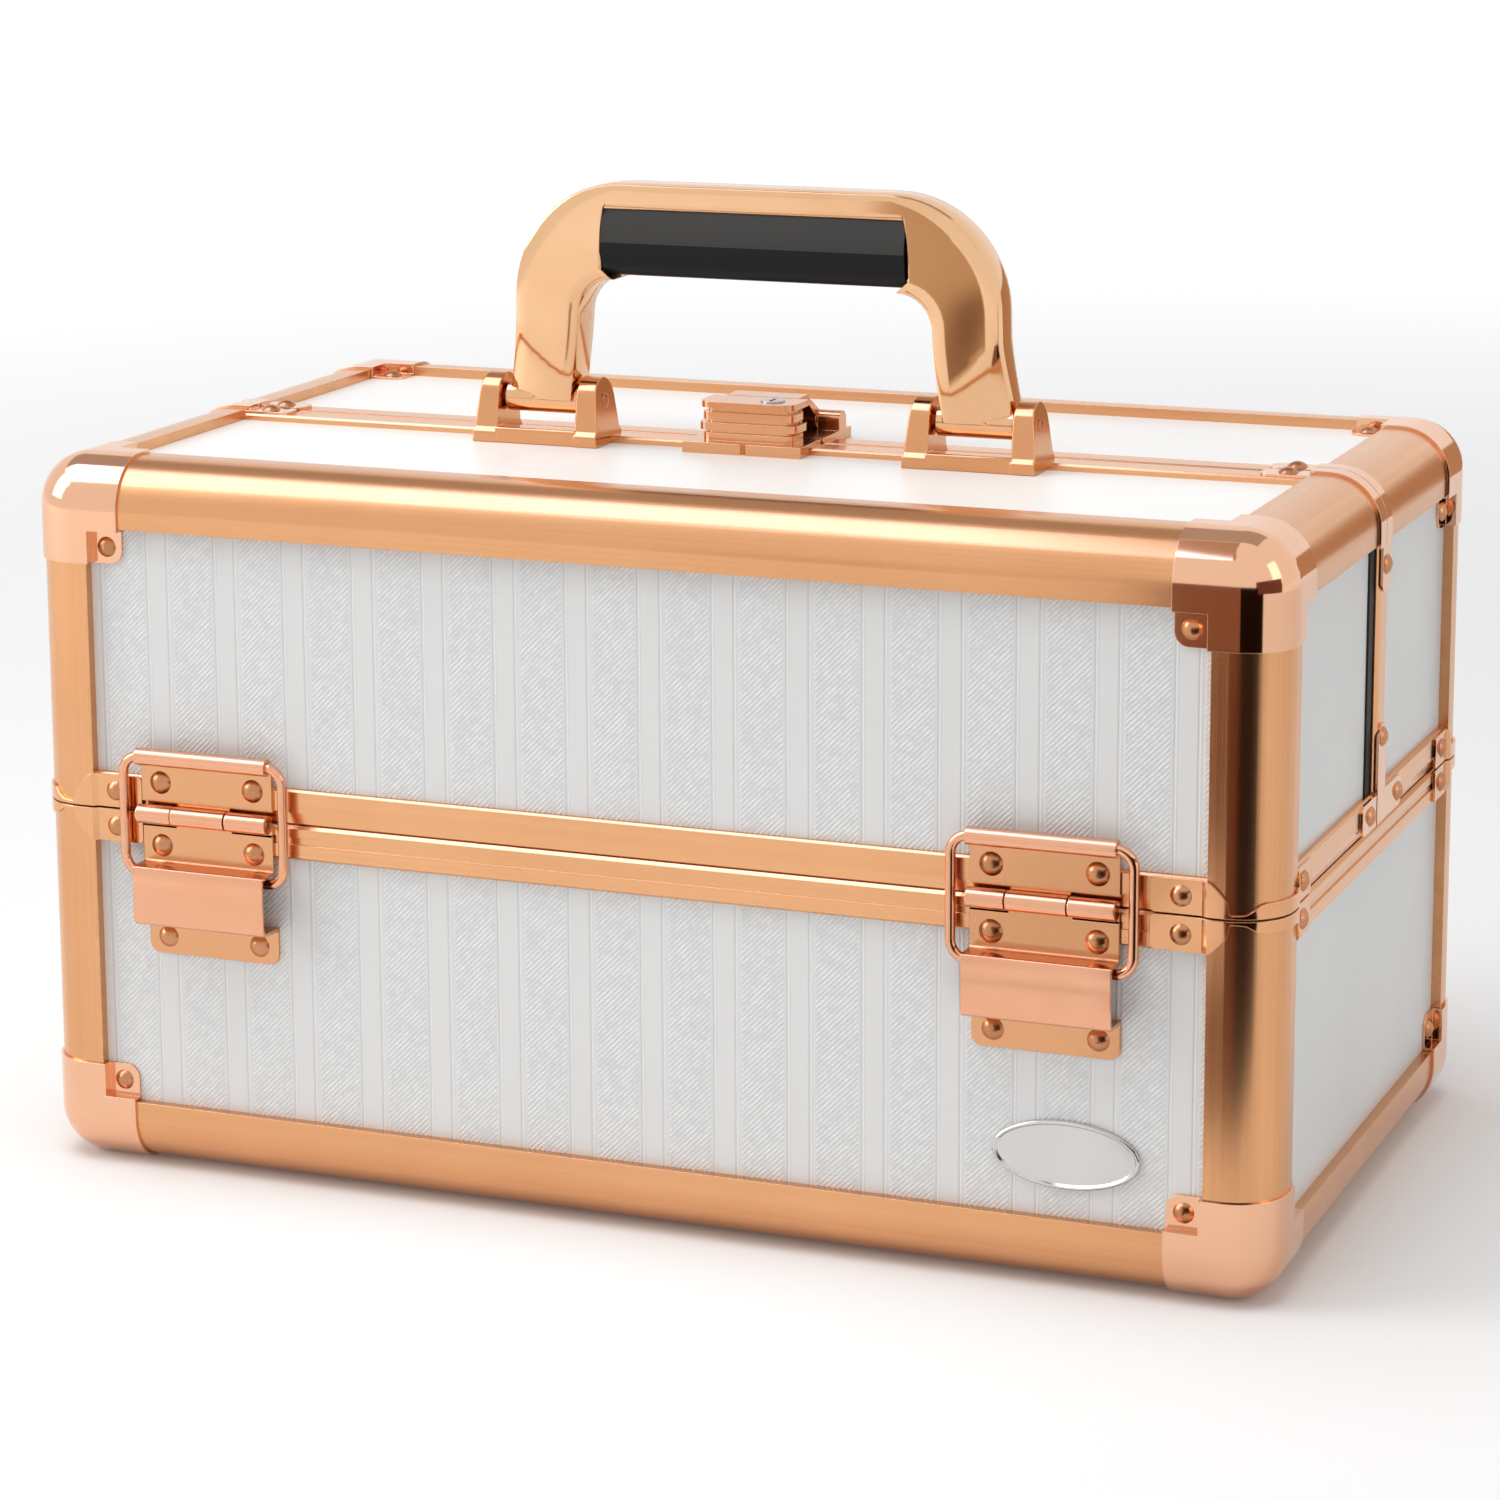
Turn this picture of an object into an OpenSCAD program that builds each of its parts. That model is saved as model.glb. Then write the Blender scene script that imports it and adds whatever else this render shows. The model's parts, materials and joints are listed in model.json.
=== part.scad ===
// Hard makeup case: a lower case, two half lids that swing out over the front and the rear,
// four trays carried on a parallel linkage, ring-stay hinges, a centre lock and a carrying handle.
// The origin is at the bottom centre of the case, X to the right, Y to the back, Z up.

/* [Case] */
// Width over the corner caps
case_w = 365; // [340:1:420]
// Depth over the corner caps
case_d = 210; // [206:1:230]
// Height of the closed case without its handle
case_h = 206; // [203:1:230]
// Height of the belt seam, where the lids meet the lower case
belt_z = 106; // [100:1:110]

/* [Walls] */
// Thickness of a covering panel
panel_t = 4; // [3:0.1:5]
// Thickness of the lining of the lower case
lining_t = 1.2; // [0.8:0.1:1.6]
// Thickness of the lining of a lid
lid_lining_t = 0.9; // [0.6:0.1:1]

/* [Rails] */
// Width of an edge rail on each of its two faces
rail_leg = 18.8; // [17:0.2:21]
// Radius of the outer edge of a rail
rail_r = 14; // [11:0.5:16]
// Height by which a rail stands proud of the panels
rail_proud = 3; // [2:0.1:4]
// Thickness of the inner lip of a rail
lip_t = 1.2; // [0.8:0.1:1.6]
// Height by which the belt and the seam rails stand proud of the panels
belt_proud = 2; // [1.6:0.1:2.4]
// Width of one belt rail, half of the belt
belt_half = 10; // [9:0.5:12]
// Width of one seam rail, half of the seam strip
seam_half = 9.5; // [8:0.5:11]
// Height of the tongue on the lower belt rail
tongue_h = 2.4; // [1.5:0.1:3]

/* [Corners] */
// Sheet thickness of the caps and brackets
cap_t = 0.8; // [0.6:0.1:1]
// Reach of a corner cap along each edge
cap_leg = 30; // [28:0.5:35]
// Width of the bands that wrap round a rail
band_w = 6; // [4:0.5:8]
// Radius of a rivet head
rivet_r = 2.9; // [2:0.1:3.2]
// Height of a rivet head
rivet_h = 1.5; // [1:0.1:1.8]
// Reach of the angle plates where the end seam meets the belt
angle_leg = 28; // [24:0.5:34]

/* [Hinges] */
// Distance of the left hinge from the left end of the case
hinge_left = 55.7; // [55.5:0.1:82.5]
// Distance of the right hinge from the right end of the case
hinge_right = 63.3; // [55.5:0.1:82.5]
// Width of a hinge leaf
leaf_w = 41; // [36:1:44]
// Thickness of a hinge leaf
leaf_t = 1; // [0.8:0.1:1]
// Radius of a hinge knuckle
knuckle_r = 2.75; // [2.4:0.05:2.8]
// Radius of a hinge pin
hinge_pin_r = 1.3; // [1:0.1:1.5]
// Radius of the stay ring's wire
wire_r = 1.4; // [1:0.1:1.5]
// Width of a stay ring, between the middles of its wires
ring_w = 50; // [48:0.5:52]
// Length of a stay ring, between the middles of its wires
ring_len = 33.5; // [33:0.1:34]
// Height of the ring's upper bar above the hinge pin
ring_up = 16.5; // [16:0.1:17]
// Depth of the channel that holds the ring's lower bar, out from the belt
channel_out = 8.1; // [8:0.1:9]

/* [Handle] */
// Width of the handle over its arms
handle_w = 152; // [140:1:170]
// Height of the handle above the top panel
handle_rise = 76; // [70:1:90]
// Thickness of the handle
handle_t = 13; // [11:0.5:14]
// Width of a handle arm
arm_w = 20; // [16:0.5:22]
// Length of the grip
grip_len = 91; // [80:1:100]
// Height of the grip
grip_h = 19; // [16:0.5:22]
// Thickness of the strap over the grip
strap_t = 7.5; // [6:0.5:9]
// Distance of the handle from the seam
handle_in = 11; // [10.5:0.5:24]
// Distance of the handle's middle to the right of the case's middle
handle_mid = 3; // [-5:0.5:5]
// Radius of the handle's pins
handle_pin_r = 2; // [1.5:0.1:2.5]
// Height of a handle bracket
bracket_h = 19.5; // [18:0.5:24]

/* [Lock] */
// Width of the lock plates
lock_w = 36; // [34:1:40]
// Height of the flap's upper face above the top panel
flap_rise = 14.5; // [14:0.1:16]
// Thickness of the flap
flap_t = 1.8; // [1.4:0.1:2]
// Width of the flap
flap_w = 22; // [21:0.5:24]
// Radius of the key cylinder
key_r = 3.5; // [3:0.1:3.8]

/* [Badge] */
// Width of the oval plate
badge_w = 41; // [30:1:46]
// Height of the oval plate
badge_h = 19; // [12:1:24]
// Distance of the plate's middle from the right end of the case
badge_in = 57.5; // [50:0.5:80]
// Height of the plate's middle
badge_up = 37; // [32:0.5:60]

/* [Trays] */
// Gap between a lower and an upper tray
tray_gap = 1.5; // [1:0.1:3]
// Height of an upper tray
up_tray_h = 31; // [24:0.5:32]
// Wall thickness of a tray
tray_wall = 2.5; // [2:0.1:3]
// Length of the linkage between its fixed pivot and the upper tray
link_len = 66; // [64:0.5:67]
// Lean of the closed linkage from upright, in degrees
link_lean = 55; // [54:0.5:56]
// Distance of an arm's upper end from the seam
link_in = 11.3; // [10:0.1:14]
// Width of a linkage arm
link_w = 9; // [8:0.5:11]
// Thickness of a linkage arm
link_t = 1.5; // [1.2:0.1:1.6]
// Radius of the linkage pins
link_pin_r = 2; // [1.5:0.1:2.2]
// Height of the plate that carries the pivots
plate_h = 26; // [22:1:30]
// Width of that plate's edge round a pivot
plate_edge = 7; // [6:0.5:8]

/* [Hidden] */
$fn = 48;

COPPER = [0.80, 0.52, 0.36];
ROSE = [0.85, 0.60, 0.50];
WHITE = [0.92, 0.92, 0.92];
BLACK = [0.08, 0.08, 0.08];
STEEL = [0.75, 0.75, 0.76];

// Half of the gap at every seam
gap = 0.25;
// Clearance of an edge in its slot
fit = 0.2;
// Radial clearance of a pin that turns
run = 0.05;
// Clearance between parts that move past each other
clear = 0.3;

half_w = case_w / 2;
half_d = case_d / 2;
// Depths below the outside of the caps
panel_d = cap_t + rail_proud;
inner_d = panel_d + panel_t;
lining_d = inner_d + lip_t;
room_d = lining_d + lining_t;
belt_d = panel_d - belt_proud;
rail_end = cap_t + rail_leg;
panel_in = cap_t + rail_r - 2.8;
top_z = case_h - panel_d;
strip_top = case_h - belt_d;
// Thickness of the web behind a belt or seam rail
web = 5;

// Tongue and groove of the belt
tongue_d = panel_d + 1.2;
tongue_t = 1.6;
groove_clear = 0.4;

// Hinge pin and ring, as depths from the outside of the case
pin_d = belt_d - leaf_t - knuckle_r + 0.55;
leaf_edge = knuckle_r + 0.45;
channel_d = belt_d - channel_out;
channel_top = belt_z + ring_up - ring_len + wire_r + 1.4;
channel_bot = belt_z - 31.7;
flange_bot = belt_z - 41.5;
rivet_x = leaf_w / 2 - 6;
knuckle_a = -leaf_w / 2 + 0.27 * leaf_w;
knuckle_b = -leaf_w / 2 + 0.68 * leaf_w;

// Trays and linkage, in the plane of the front half; the rear is its mirror image
pin_y = -half_d + pin_d;
link_y = link_len * sin(link_lean);
link_z = link_len * cos(link_lean);
share = 0.5;
pivot_y = -link_in - link_y;
pivot_z = belt_z + 6;
low_tray_z = belt_z + 6.5;
low_tray_out = half_d - room_d - 7;
up_tray_out = half_d - room_d - 1.8;
tray_in = 1.5;
head_r = 3.5;
head_t = 1;
// An upper tray's floor lies just under the heads of its pins
up_tray_z = belt_z + link_z - head_r - clear - tray_wall;
low_tray_h = up_tray_z - tray_gap - low_tray_z;
plate_t = 1;
arm_d = room_d + plate_t + clear;
tray_d = arm_d + link_t + 0.5;
tray_half = half_w - tray_d;

// Handle
handle_x = handle_w / 2 - arm_w / 2;
handle_y = -handle_in;
handle_pin_z = top_z + 12.5;
handle_top = top_z + handle_rise;
handle_edge = 3;
bracket_base = 3;
bracket_d = 19;
ear_t = 10.2;
ear_gap = arm_w + 2 * clear + 0.8;

// Lock
lock_front = -17;
lock_cover = -1.2;
flap_nose = -0.4;
flap_top = top_z + flap_rise;
key_x = 6;
key_y = -7.5;
hasp_y = 17;
hasp_z = top_z + 6;
hasp_r = 2.8;
hasp_pin_r = 1.2;
hasp_knuckle = 22;
hasp_back = 7;
lock_t = 1.2;
tongue_z = top_z + 5.5;
bolt_t = 2;
bolt_len = 12;

// Flips its children in one axis when asked
module flip(on, axis) {
    if (on)
        mirror(axis) children();
    else
        children();
}

// Puts children at a corner of the case, with X, Y and Z pointing into the case
module at_corner(right, rear, top) {
    translate([right ? half_w : -half_w, rear ? half_d : -half_d, top ? case_h : 0])
        flip(right, [1, 0, 0]) flip(rear, [0, 1, 0]) flip(top, [0, 0, 1]) children();
}

module both_sides() {
    for (right = [false, true])
        flip(right, [1, 0, 0]) children();
}

module both_halves() {
    for (rear = [false, true])
        flip(rear, [0, 1, 0]) children();
}

// Extrudes an outline along X: its x becomes Y and its y becomes Z
module along_x(x0, x1) {
    translate([x0, 0, 0]) rotate([90, 0, 90]) linear_extrude(x1 - x0) children();
}

// Extrudes an outline along Y: its x stays X and its y becomes Z
module along_y(y0, y1) {
    translate([0, y1, 0]) rotate([90, 0, 0]) linear_extrude(y1 - y0) children();
}

// Square with the corner at the origin rounded
module round_corner(size, r) {
    intersection() {
        translate([r, r]) circle(r);
        translate([-r, -r]) square(2 * r);
    }
    translate([r, 0]) square([size - r, size]);
    translate([0, r]) square([size, size - r]);
}

// Rectangle with all four corners rounded
module round_rect(w, h, r) {
    translate([-w / 2 + r, -h / 2]) square([w - 2 * r, h]);
    translate([-w / 2, -h / 2 + r]) square([w, h - 2 * r]);
    for (x = [-1, 1], y = [-1, 1])
        translate([x * (w / 2 - r), y * (h / 2 - r)]) circle(r);
}

// Cube with its edges and corner at the origin rounded
module round_octant(size, r) {
    translate([r, r, r]) mirror([1, 0, 0]) mirror([0, 1, 0]) mirror([0, 0, 1])
        rotate_extrude(angle = 90)
            intersection() {
                circle(r);
                square(2 * r);
            }
    for (k = [0:2])
        rotate(120 * k, [1, 1, 1])
            translate([0, 0, r]) linear_extrude(size - r) round_corner(size, r);
}

// Section of an edge rail, with a slot for each panel
module rail_section() {
    difference() {
        translate([cap_t, cap_t]) round_corner(rail_leg, rail_r);
        translate([lining_d, lining_d]) square(rail_leg);
        translate([panel_in - fit, panel_d]) square([rail_leg, panel_t]);
        translate([panel_d, panel_in - fit]) square([panel_t, rail_leg]);
    }
}

// Section of a belt or seam rail: x is the depth, y the distance from the seam
module strip_section(half, bevel) {
    polygon([
        [belt_d + 0.9, gap], [belt_d, gap + bevel], [belt_d, half - 0.6], [belt_d + 0.6, half],
        [panel_d, half], [panel_d, web], [inner_d, web], [inner_d, half],
        [lining_d, half], [lining_d, gap]
    ]);
}

module lower_belt_section() {
    difference() {
        strip_section(belt_half, 0.9);
        translate([belt_d - 1, 3.6]) square([1.4, 2]);
    }
    translate([tongue_d, -tongue_h]) square([tongue_t, tongue_h + gap]);
}

module lid_belt_section() {
    difference() {
        strip_section(belt_half, 3.4);
        translate([tongue_d - groove_clear, -1])
            square([tongue_t + 2 * groove_clear + 0.2, tongue_h + groove_clear + 1]);
    }
}

module seam_section() {
    strip_section(seam_half, 1.2);
}

// Corner cap: a sheet over the rails, a block where the rails meet, and three tabs
module corner_cap() {
    tab_in = rail_end + 0.1;
    tab = cap_leg - tab_in;
    difference() {
        round_octant(cap_leg, rail_r + cap_t);
        // The rails run up to the block
        difference() {
            translate([cap_t, cap_t, cap_t]) round_octant(cap_leg, rail_r);
            translate([-1, -1, -1]) cube(rail_end + 1);
        }
        translate([lining_d, lining_d, lining_d]) cube(cap_leg);
        for (k = [0:2])
            rotate(120 * k, [1, 1, 1]) {
                translate([tab_in + cap_t, tab_in + cap_t, -1]) cube([cap_leg, cap_leg, rail_r]);
                translate([panel_in - fit, panel_in - fit, panel_d]) cube([cap_leg, cap_leg, panel_t]);
            }
    }
    for (k = [0:2])
        rotate(120 * k, [1, 1, 1]) {
            translate([tab_in, tab_in, 0]) {
                cube([cap_t, tab, panel_d]);
                cube([tab, cap_t, panel_d]);
                translate([tab, tab, panel_d - cap_t]) rotate(180)
                    linear_extrude(cap_t) round_corner(tab, 4);
            }
        }
}

// Domed rivet head that stands on the plane z = 0
module rivet(r = rivet_r, h = rivet_h) {
    big = (r * r + h * h) / (2 * h);
    intersection() {
        translate([0, 0, h - big]) sphere(big);
        cylinder(r = r, h = h);
    }
}

// The three rivets of a corner cap, in the frame of its corner
module cap_rivets() {
    c = (rail_end + cap_t + cap_leg) / 2;
    for (k = [0:2])
        rotate(120 * k, [1, 1, 1])
            translate([c, c, panel_d - cap_t]) mirror([0, 0, 1]) rivet();
}

bracket_end = cap_leg + 4;
bracket_rivet = (rail_end + cap_t + bracket_end) / 2 - 0.6;

// Band round a rail with a plate on each strip, in the frame of the edge; Z runs along the edge
module wrap_bracket(strip, second_plate) {
    translate([0, 0, gap]) {
        linear_extrude(band_w)
            difference() {
                round_corner(rail_end + cap_t, rail_r + cap_t);
                translate([cap_t, cap_t]) round_corner(cap_leg, rail_r);
            }
        for (swap = [0, 1])
            if (swap == 0 || second_plate)
                flip(swap == 1, [1, -1, 0]) {
                    translate([rail_end, 0, 0]) cube([cap_t, belt_d, band_w]);
                    translate([rail_end, belt_d, (strip - gap) / 2]) rotate([90, 0, 0])
                        linear_extrude(cap_t)
                            translate([bracket_end - rail_end, 0]) rotate(180)
                                plate_outline(bracket_end - rail_end, strip - gap - 1);
                }
    }
}

// Plate with its near corners rounded, from x = 0, centred on y = 0
module plate_outline(len, w) {
    r = 2.5;
    translate([r, -w / 2]) square([len - r, w]);
    translate([0, -w / 2 + r]) square([len, w - 2 * r]);
    for (y = [-1, 1])
        translate([r, y * (w / 2 - r)]) circle(r);
}

// Rivets of a band's plates, in the frame of the edge
module wrap_rivets(strip, second_plate) {
    for (swap = [0, 1])
        if (swap == 0 || second_plate)
            flip(swap == 1, [1, -1, 0])
                translate([bracket_rivet, belt_d - cap_t, (strip + gap) / 2])
                    rotate([90, 0, 0]) rivet();
}

// Puts an edge frame at the belt, one for each corner; up is away from the seam
module at_belt_corner(right, rear, up) {
    translate([right ? half_w : -half_w, rear ? half_d : -half_d, belt_z])
        flip(right, [1, 0, 0]) flip(rear, [0, 1, 0]) flip(!up, [0, 0, 1]) children();
}

// Puts an edge frame at the rear half of the seam over the left side rail
module at_seam_end() {
    translate([-half_w, 0, case_h]) rotate([-90, 0, 0]) children();
}

// Lower case

module bottom_panel() {
    color(WHITE)
        translate([-half_w + panel_in, -half_d + panel_in, panel_d])
            cube([case_w - 2 * panel_in, case_d - 2 * panel_in, panel_t]);
}

module lower_front_panel() {
    color(WHITE)
        translate([-half_w + panel_in, -half_d + panel_d, panel_in])
            cube([case_w - 2 * panel_in, panel_t, belt_z - web - fit - panel_in]);
}

module lower_rear_panel() {
    mirror([0, 1, 0]) lower_front_panel();
}

module lower_end_panels() {
    color(WHITE)
        both_sides()
            translate([-half_w + panel_d, -half_d + panel_in, panel_in])
                cube([panel_t, case_d - 2 * panel_in, belt_z - web - fit - panel_in]);
}

module bottom_rails() {
    color(COPPER) {
        both_halves()
            translate([0, -half_d, 0]) along_x(-half_w + rail_end, half_w - rail_end) rail_section();
        both_sides()
            translate([-half_w, 0, 0]) along_y(-half_d + rail_end, half_d - rail_end) rail_section();
    }
}

module lower_corner_posts() {
    color(COPPER)
        for (right = [false, true], rear = [false, true])
            at_corner(right, rear, false)
                translate([0, 0, rail_end]) linear_extrude(belt_z - gap - rail_end) rail_section();
}

module lower_belt_rails() {
    color(COPPER)
        translate([0, 0, belt_z]) mirror([0, 0, 1]) {
            both_halves()
                translate([0, -half_d, 0])
                    along_x(-half_w + rail_end, half_w - rail_end) lower_belt_section();
            both_sides()
                translate([-half_w, 0, 0])
                    along_y(-half_d + rail_end, half_d - rail_end) lower_belt_section();
        }
}

module bottom_corner_caps() {
    color(ROSE)
        for (right = [false, true], rear = [false, true])
            at_corner(right, rear, false) corner_cap();
}

module lower_belt_brackets() {
    color(ROSE)
        for (right = [false, true], rear = [false, true])
            at_belt_corner(right, rear, false) wrap_bracket(belt_half, true);
}

module lower_lining() {
    color(BLACK)
        difference() {
            translate([-half_w + lining_d, -half_d + lining_d, lining_d])
                cube([case_w - 2 * lining_d, case_d - 2 * lining_d, belt_z - 1.5 - lining_d]);
            translate([-half_w + room_d, -half_d + room_d, room_d])
                cube([case_w - 2 * room_d, case_d - 2 * room_d, belt_z]);
        }
}

// Tube of one knuckle between two places along the leaf
module knuckle(x0, x1, bore) {
    translate([x0, pin_d, 0]) rotate([0, 90, 0])
        difference() {
            cylinder(r = knuckle_r, h = x1 - x0);
            translate([0, 0, -1]) cylinder(r = bore, h = x1 - x0 + 2);
        }
}

// Strip of leaf that carries a knuckle, down to the pin's height
module knuckle_strap(x0, x1, bore, rise) {
    difference() {
        translate([x0, belt_d - leaf_t, 0]) cube([x1 - x0, leaf_t, rise]);
        translate([x0 - 1, pin_d, 0]) rotate([0, 90, 0]) cylinder(r = bore, h = x1 - x0 + 2);
    }
}

// Lower leaf with its raised channel; Y is the depth and Z is measured from the hinge pin
module lower_leaf() {
    top = channel_top - belt_z;
    bot = channel_bot - belt_z;
    foot = flange_bot - belt_z;
    half = leaf_w / 2;
    translate([-half, belt_d - leaf_t, top - leaf_t]) cube([leaf_w, leaf_t, -leaf_edge - top + leaf_t]);
    translate([-half, channel_d, top - leaf_t]) cube([leaf_w, belt_d - channel_d, leaf_t]);
    translate([-half, channel_d, bot]) cube([leaf_w, leaf_t, top - bot]);
    translate([-half, channel_d, bot]) cube([leaf_w, panel_d - channel_d, leaf_t]);
    translate([0, panel_d, foot]) rotate([90, 0, 0])
        linear_extrude(leaf_t)
            translate([0, (bot - foot) / 2]) {
                round_rect(leaf_w, bot - foot, 3);
                translate([-half, 0]) square([leaf_w, (bot - foot) / 2]);
            }
    for (span = [[-half, knuckle_a - 0.15], [knuckle_b + 0.15, half]]) {
        knuckle(span[0], span[1], hinge_pin_r);
        mirror([0, 0, 1]) knuckle_strap(span[0], span[1], hinge_pin_r, leaf_edge + 1);
    }
}

// Upper leaf with the curled lip that holds the ring
module upper_leaf() {
    half = leaf_w / 2;
    lip_r = wire_r + run + leaf_t;
    difference() {
        union() {
            translate([-half, belt_d - leaf_t, leaf_edge]) cube([leaf_w, leaf_t, ring_up - leaf_edge]);
            translate([-half, pin_d, ring_up]) rotate([0, 90, 0]) cylinder(r = lip_r, h = leaf_w);
            knuckle_strap(knuckle_a + 0.15, knuckle_b - 0.15, hinge_pin_r + run, leaf_edge + 1);
        }
        translate([-half - 1, pin_d, ring_up]) rotate([0, 90, 0])
            cylinder(r = wire_r + run, h = leaf_w + 2);
        translate([-half - 1, pin_d, 0]) rotate([0, 90, 0])
            cylinder(r = hinge_pin_r + run, h = leaf_w + 2);
    }
    knuckle(knuckle_a + 0.15, knuckle_b - 0.15, hinge_pin_r + run);
}

// Puts children at each of the two hinges of the front
module at_front_hinges() {
    for (x = [hinge_left - half_w, half_w - hinge_right])
        translate([x, -half_d, belt_z]) children();
}

module lower_hinge_leaves() {
    color(ROSE)
        both_halves() at_front_hinges() lower_leaf();
}

module hinge_pins() {
    color(STEEL)
        both_halves() at_front_hinges()
            translate([-leaf_w / 2, pin_d, 0]) rotate([0, 90, 0])
                cylinder(r = hinge_pin_r, h = leaf_w);
}

// Rivets of a lower leaf: two on the belt and two on the flange
module lower_leaf_rivets() {
    for (x = [-rivet_x, rivet_x]) {
        translate([x, belt_d - leaf_t, -9.4]) rotate([90, 0, 0]) rivet(3.3, 1.7);
        translate([x, panel_d - leaf_t, flange_bot - belt_z + 5]) rotate([90, 0, 0]) rivet(3.1, 1.6);
    }
}

module lower_rivets() {
    color(COPPER) {
        for (right = [false, true], rear = [false, true]) {
            at_corner(right, rear, false) cap_rivets();
            at_belt_corner(right, rear, false) wrap_rivets(belt_half, true);
        }
        both_halves() at_front_hinges() lower_leaf_rivets();
    }
}

// Blank oval plate on the lower right of the front
module oval_plate() {
    steps = 72;
    edge = 1.2;
    function oval(w, h) = [for (i = [0:steps - 1]) [w / 2 * cos(360 * i / steps), h / 2 * sin(360 * i / steps)]];
    color(STEEL)
        translate([half_w - badge_in, -half_d + panel_d, badge_up]) rotate([90, 0, 0]) {
            linear_extrude(0.8) polygon(oval(badge_w, badge_h));
            linear_extrude(1.4)
                difference() {
                    polygon(oval(badge_w - 0.6, badge_h - 0.6));
                    polygon(oval(badge_w - 2 * edge, badge_h - 2 * edge));
                }
        }
}

// Plate at each end that carries the pivots of both linkages
module linkage_plates() {
    drop = plate_h / 2 - plate_edge;
    color(STEEL)
        both_sides()
            translate([-half_w + room_d, 0, pivot_z - drop]) rotate([90, 0, 90])
                linear_extrude(plate_t)
                    difference() {
                        round_rect(2 * (plate_edge - pivot_y), plate_h, 5);
                        for (y = [-1, 1])
                            translate([y * pivot_y, drop]) circle(link_pin_r);
                    }
}

module linkage_pivots() {
    color(STEEL)
        both_sides() both_halves()
            translate([-half_w + room_d, pivot_y, pivot_z]) rotate([0, 90, 0])
                cylinder(r = link_pin_r, h = plate_t + clear + link_t);
}

// Half lids; the front one is drawn and the rear one is its mirror image

module upper_panel() {
    color(WHITE)
        translate([-half_w + panel_in, -half_d + panel_d, belt_z + web + fit])
            cube([case_w - 2 * panel_in, panel_t, case_h - panel_in - belt_z - web - fit]);
}

module top_panel() {
    color(WHITE)
        translate([-half_w + panel_in, -half_d + panel_in, case_h - inner_d])
            cube([case_w - 2 * panel_in, half_d - panel_in - web - fit, panel_t]);
}

module lid_ends() {
    color(WHITE)
        both_sides()
            translate([-half_w + panel_d, -half_d + panel_in, belt_z + web + fit])
                cube([panel_t, half_d - panel_in - web - fit, case_h - panel_in - belt_z - web - fit]);
}

module lid_rails() {
    color(COPPER)
        translate([0, 0, case_h]) mirror([0, 0, 1]) {
            translate([0, -half_d, 0]) along_x(-half_w + rail_end, half_w - rail_end) rail_section();
            both_sides()
                translate([-half_w, 0, 0]) along_y(-half_d + rail_end, -gap) rail_section();
        }
}

module lid_posts() {
    color(COPPER)
        for (right = [false, true])
            at_corner(right, false, true)
                translate([0, 0, rail_end])
                    linear_extrude(case_h - belt_z - gap - rail_end) rail_section();
}

module lid_belt_rails() {
    color(COPPER)
        translate([0, 0, belt_z]) {
            translate([0, -half_d, 0])
                along_x(-half_w + rail_end, half_w - rail_end) lid_belt_section();
            both_sides()
                translate([-half_w, 0, 0]) along_y(-half_d + rail_end, -gap) lid_belt_section();
        }
}

// Seam rail along the top, on the rear half
module top_seam_rail() {
    translate([0, 0, case_h]) rotate([-90, 0, 0])
        along_x(-half_w + rail_end, half_w - rail_end) seam_section();
}

module lid_caps() {
    color(ROSE)
        for (right = [false, true])
            at_corner(right, false, true) corner_cap();
}

module lid_lining() {
    inside = lining_d + lid_lining_t;
    color(BLACK)
        difference() {
            translate([-half_w + lining_d, -half_d + lining_d, belt_z + 1.5])
                cube([case_w - 2 * lining_d, half_d - lining_d - gap, case_h - lining_d - belt_z - 1.5]);
            translate([-half_w + inside, -half_d + inside, 0])
                cube([case_w - 2 * inside, case_d, case_h - inside]);
        }
}

module upper_hinge_leaves() {
    color(ROSE)
        at_front_hinges() upper_leaf();
}

// Rivets that both lids have: caps, belt corners, seam ends and hinge leaves
module lid_rivets() {
    for (right = [false, true]) {
        at_corner(right, false, true) cap_rivets();
        at_belt_corner(right, false, true) wrap_rivets(belt_half, true);
    }
    at_front_hinges()
        for (x = [-rivet_x, rivet_x])
            translate([x, belt_d - leaf_t, 8.8]) rotate([90, 0, 0]) rivet(3.3, 1.7);
}

// Pins on the lid's ends that the trays turn on
module tray_pins() {
    inside = lining_d + lid_lining_t;
    color(STEEL)
        both_sides()
            for (k = [share, 1])
                translate([-half_w + inside, pin_y + k * link_y, belt_z + k * link_z])
                    rotate([0, 90, 0]) {
                        cylinder(r = head_r, h = tray_d - inside - clear);
                        cylinder(r = link_pin_r, h = tray_d - inside + tray_wall + 2 * clear);
                        translate([0, 0, tray_d - inside + tray_wall + clear])
                            cylinder(r = head_r, h = head_t);
                    }
}

module front_upper_panel() {
    upper_panel();
}

module front_top_panel() {
    top_panel();
}

module front_lid_ends() {
    lid_ends();
}

module front_lid_rails() {
    lid_rails();
}

module front_lid_posts() {
    lid_posts();
}

module front_lid_belt_rails() {
    lid_belt_rails();
}

module front_seam_rail() {
    color(COPPER)
        mirror([0, 1, 0]) top_seam_rail();
}

// Dark seals that close the upright seams of the ends
module front_seam_seals() {
    color(BLACK)
        both_sides()
            translate([-half_w + panel_d - 0.6, -web, belt_z + belt_half])
                cube([lining_d - panel_d + 0.6, web - gap, case_h - rail_end - belt_z - belt_half]);
}

module front_corner_caps() {
    lid_caps();
}

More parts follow.
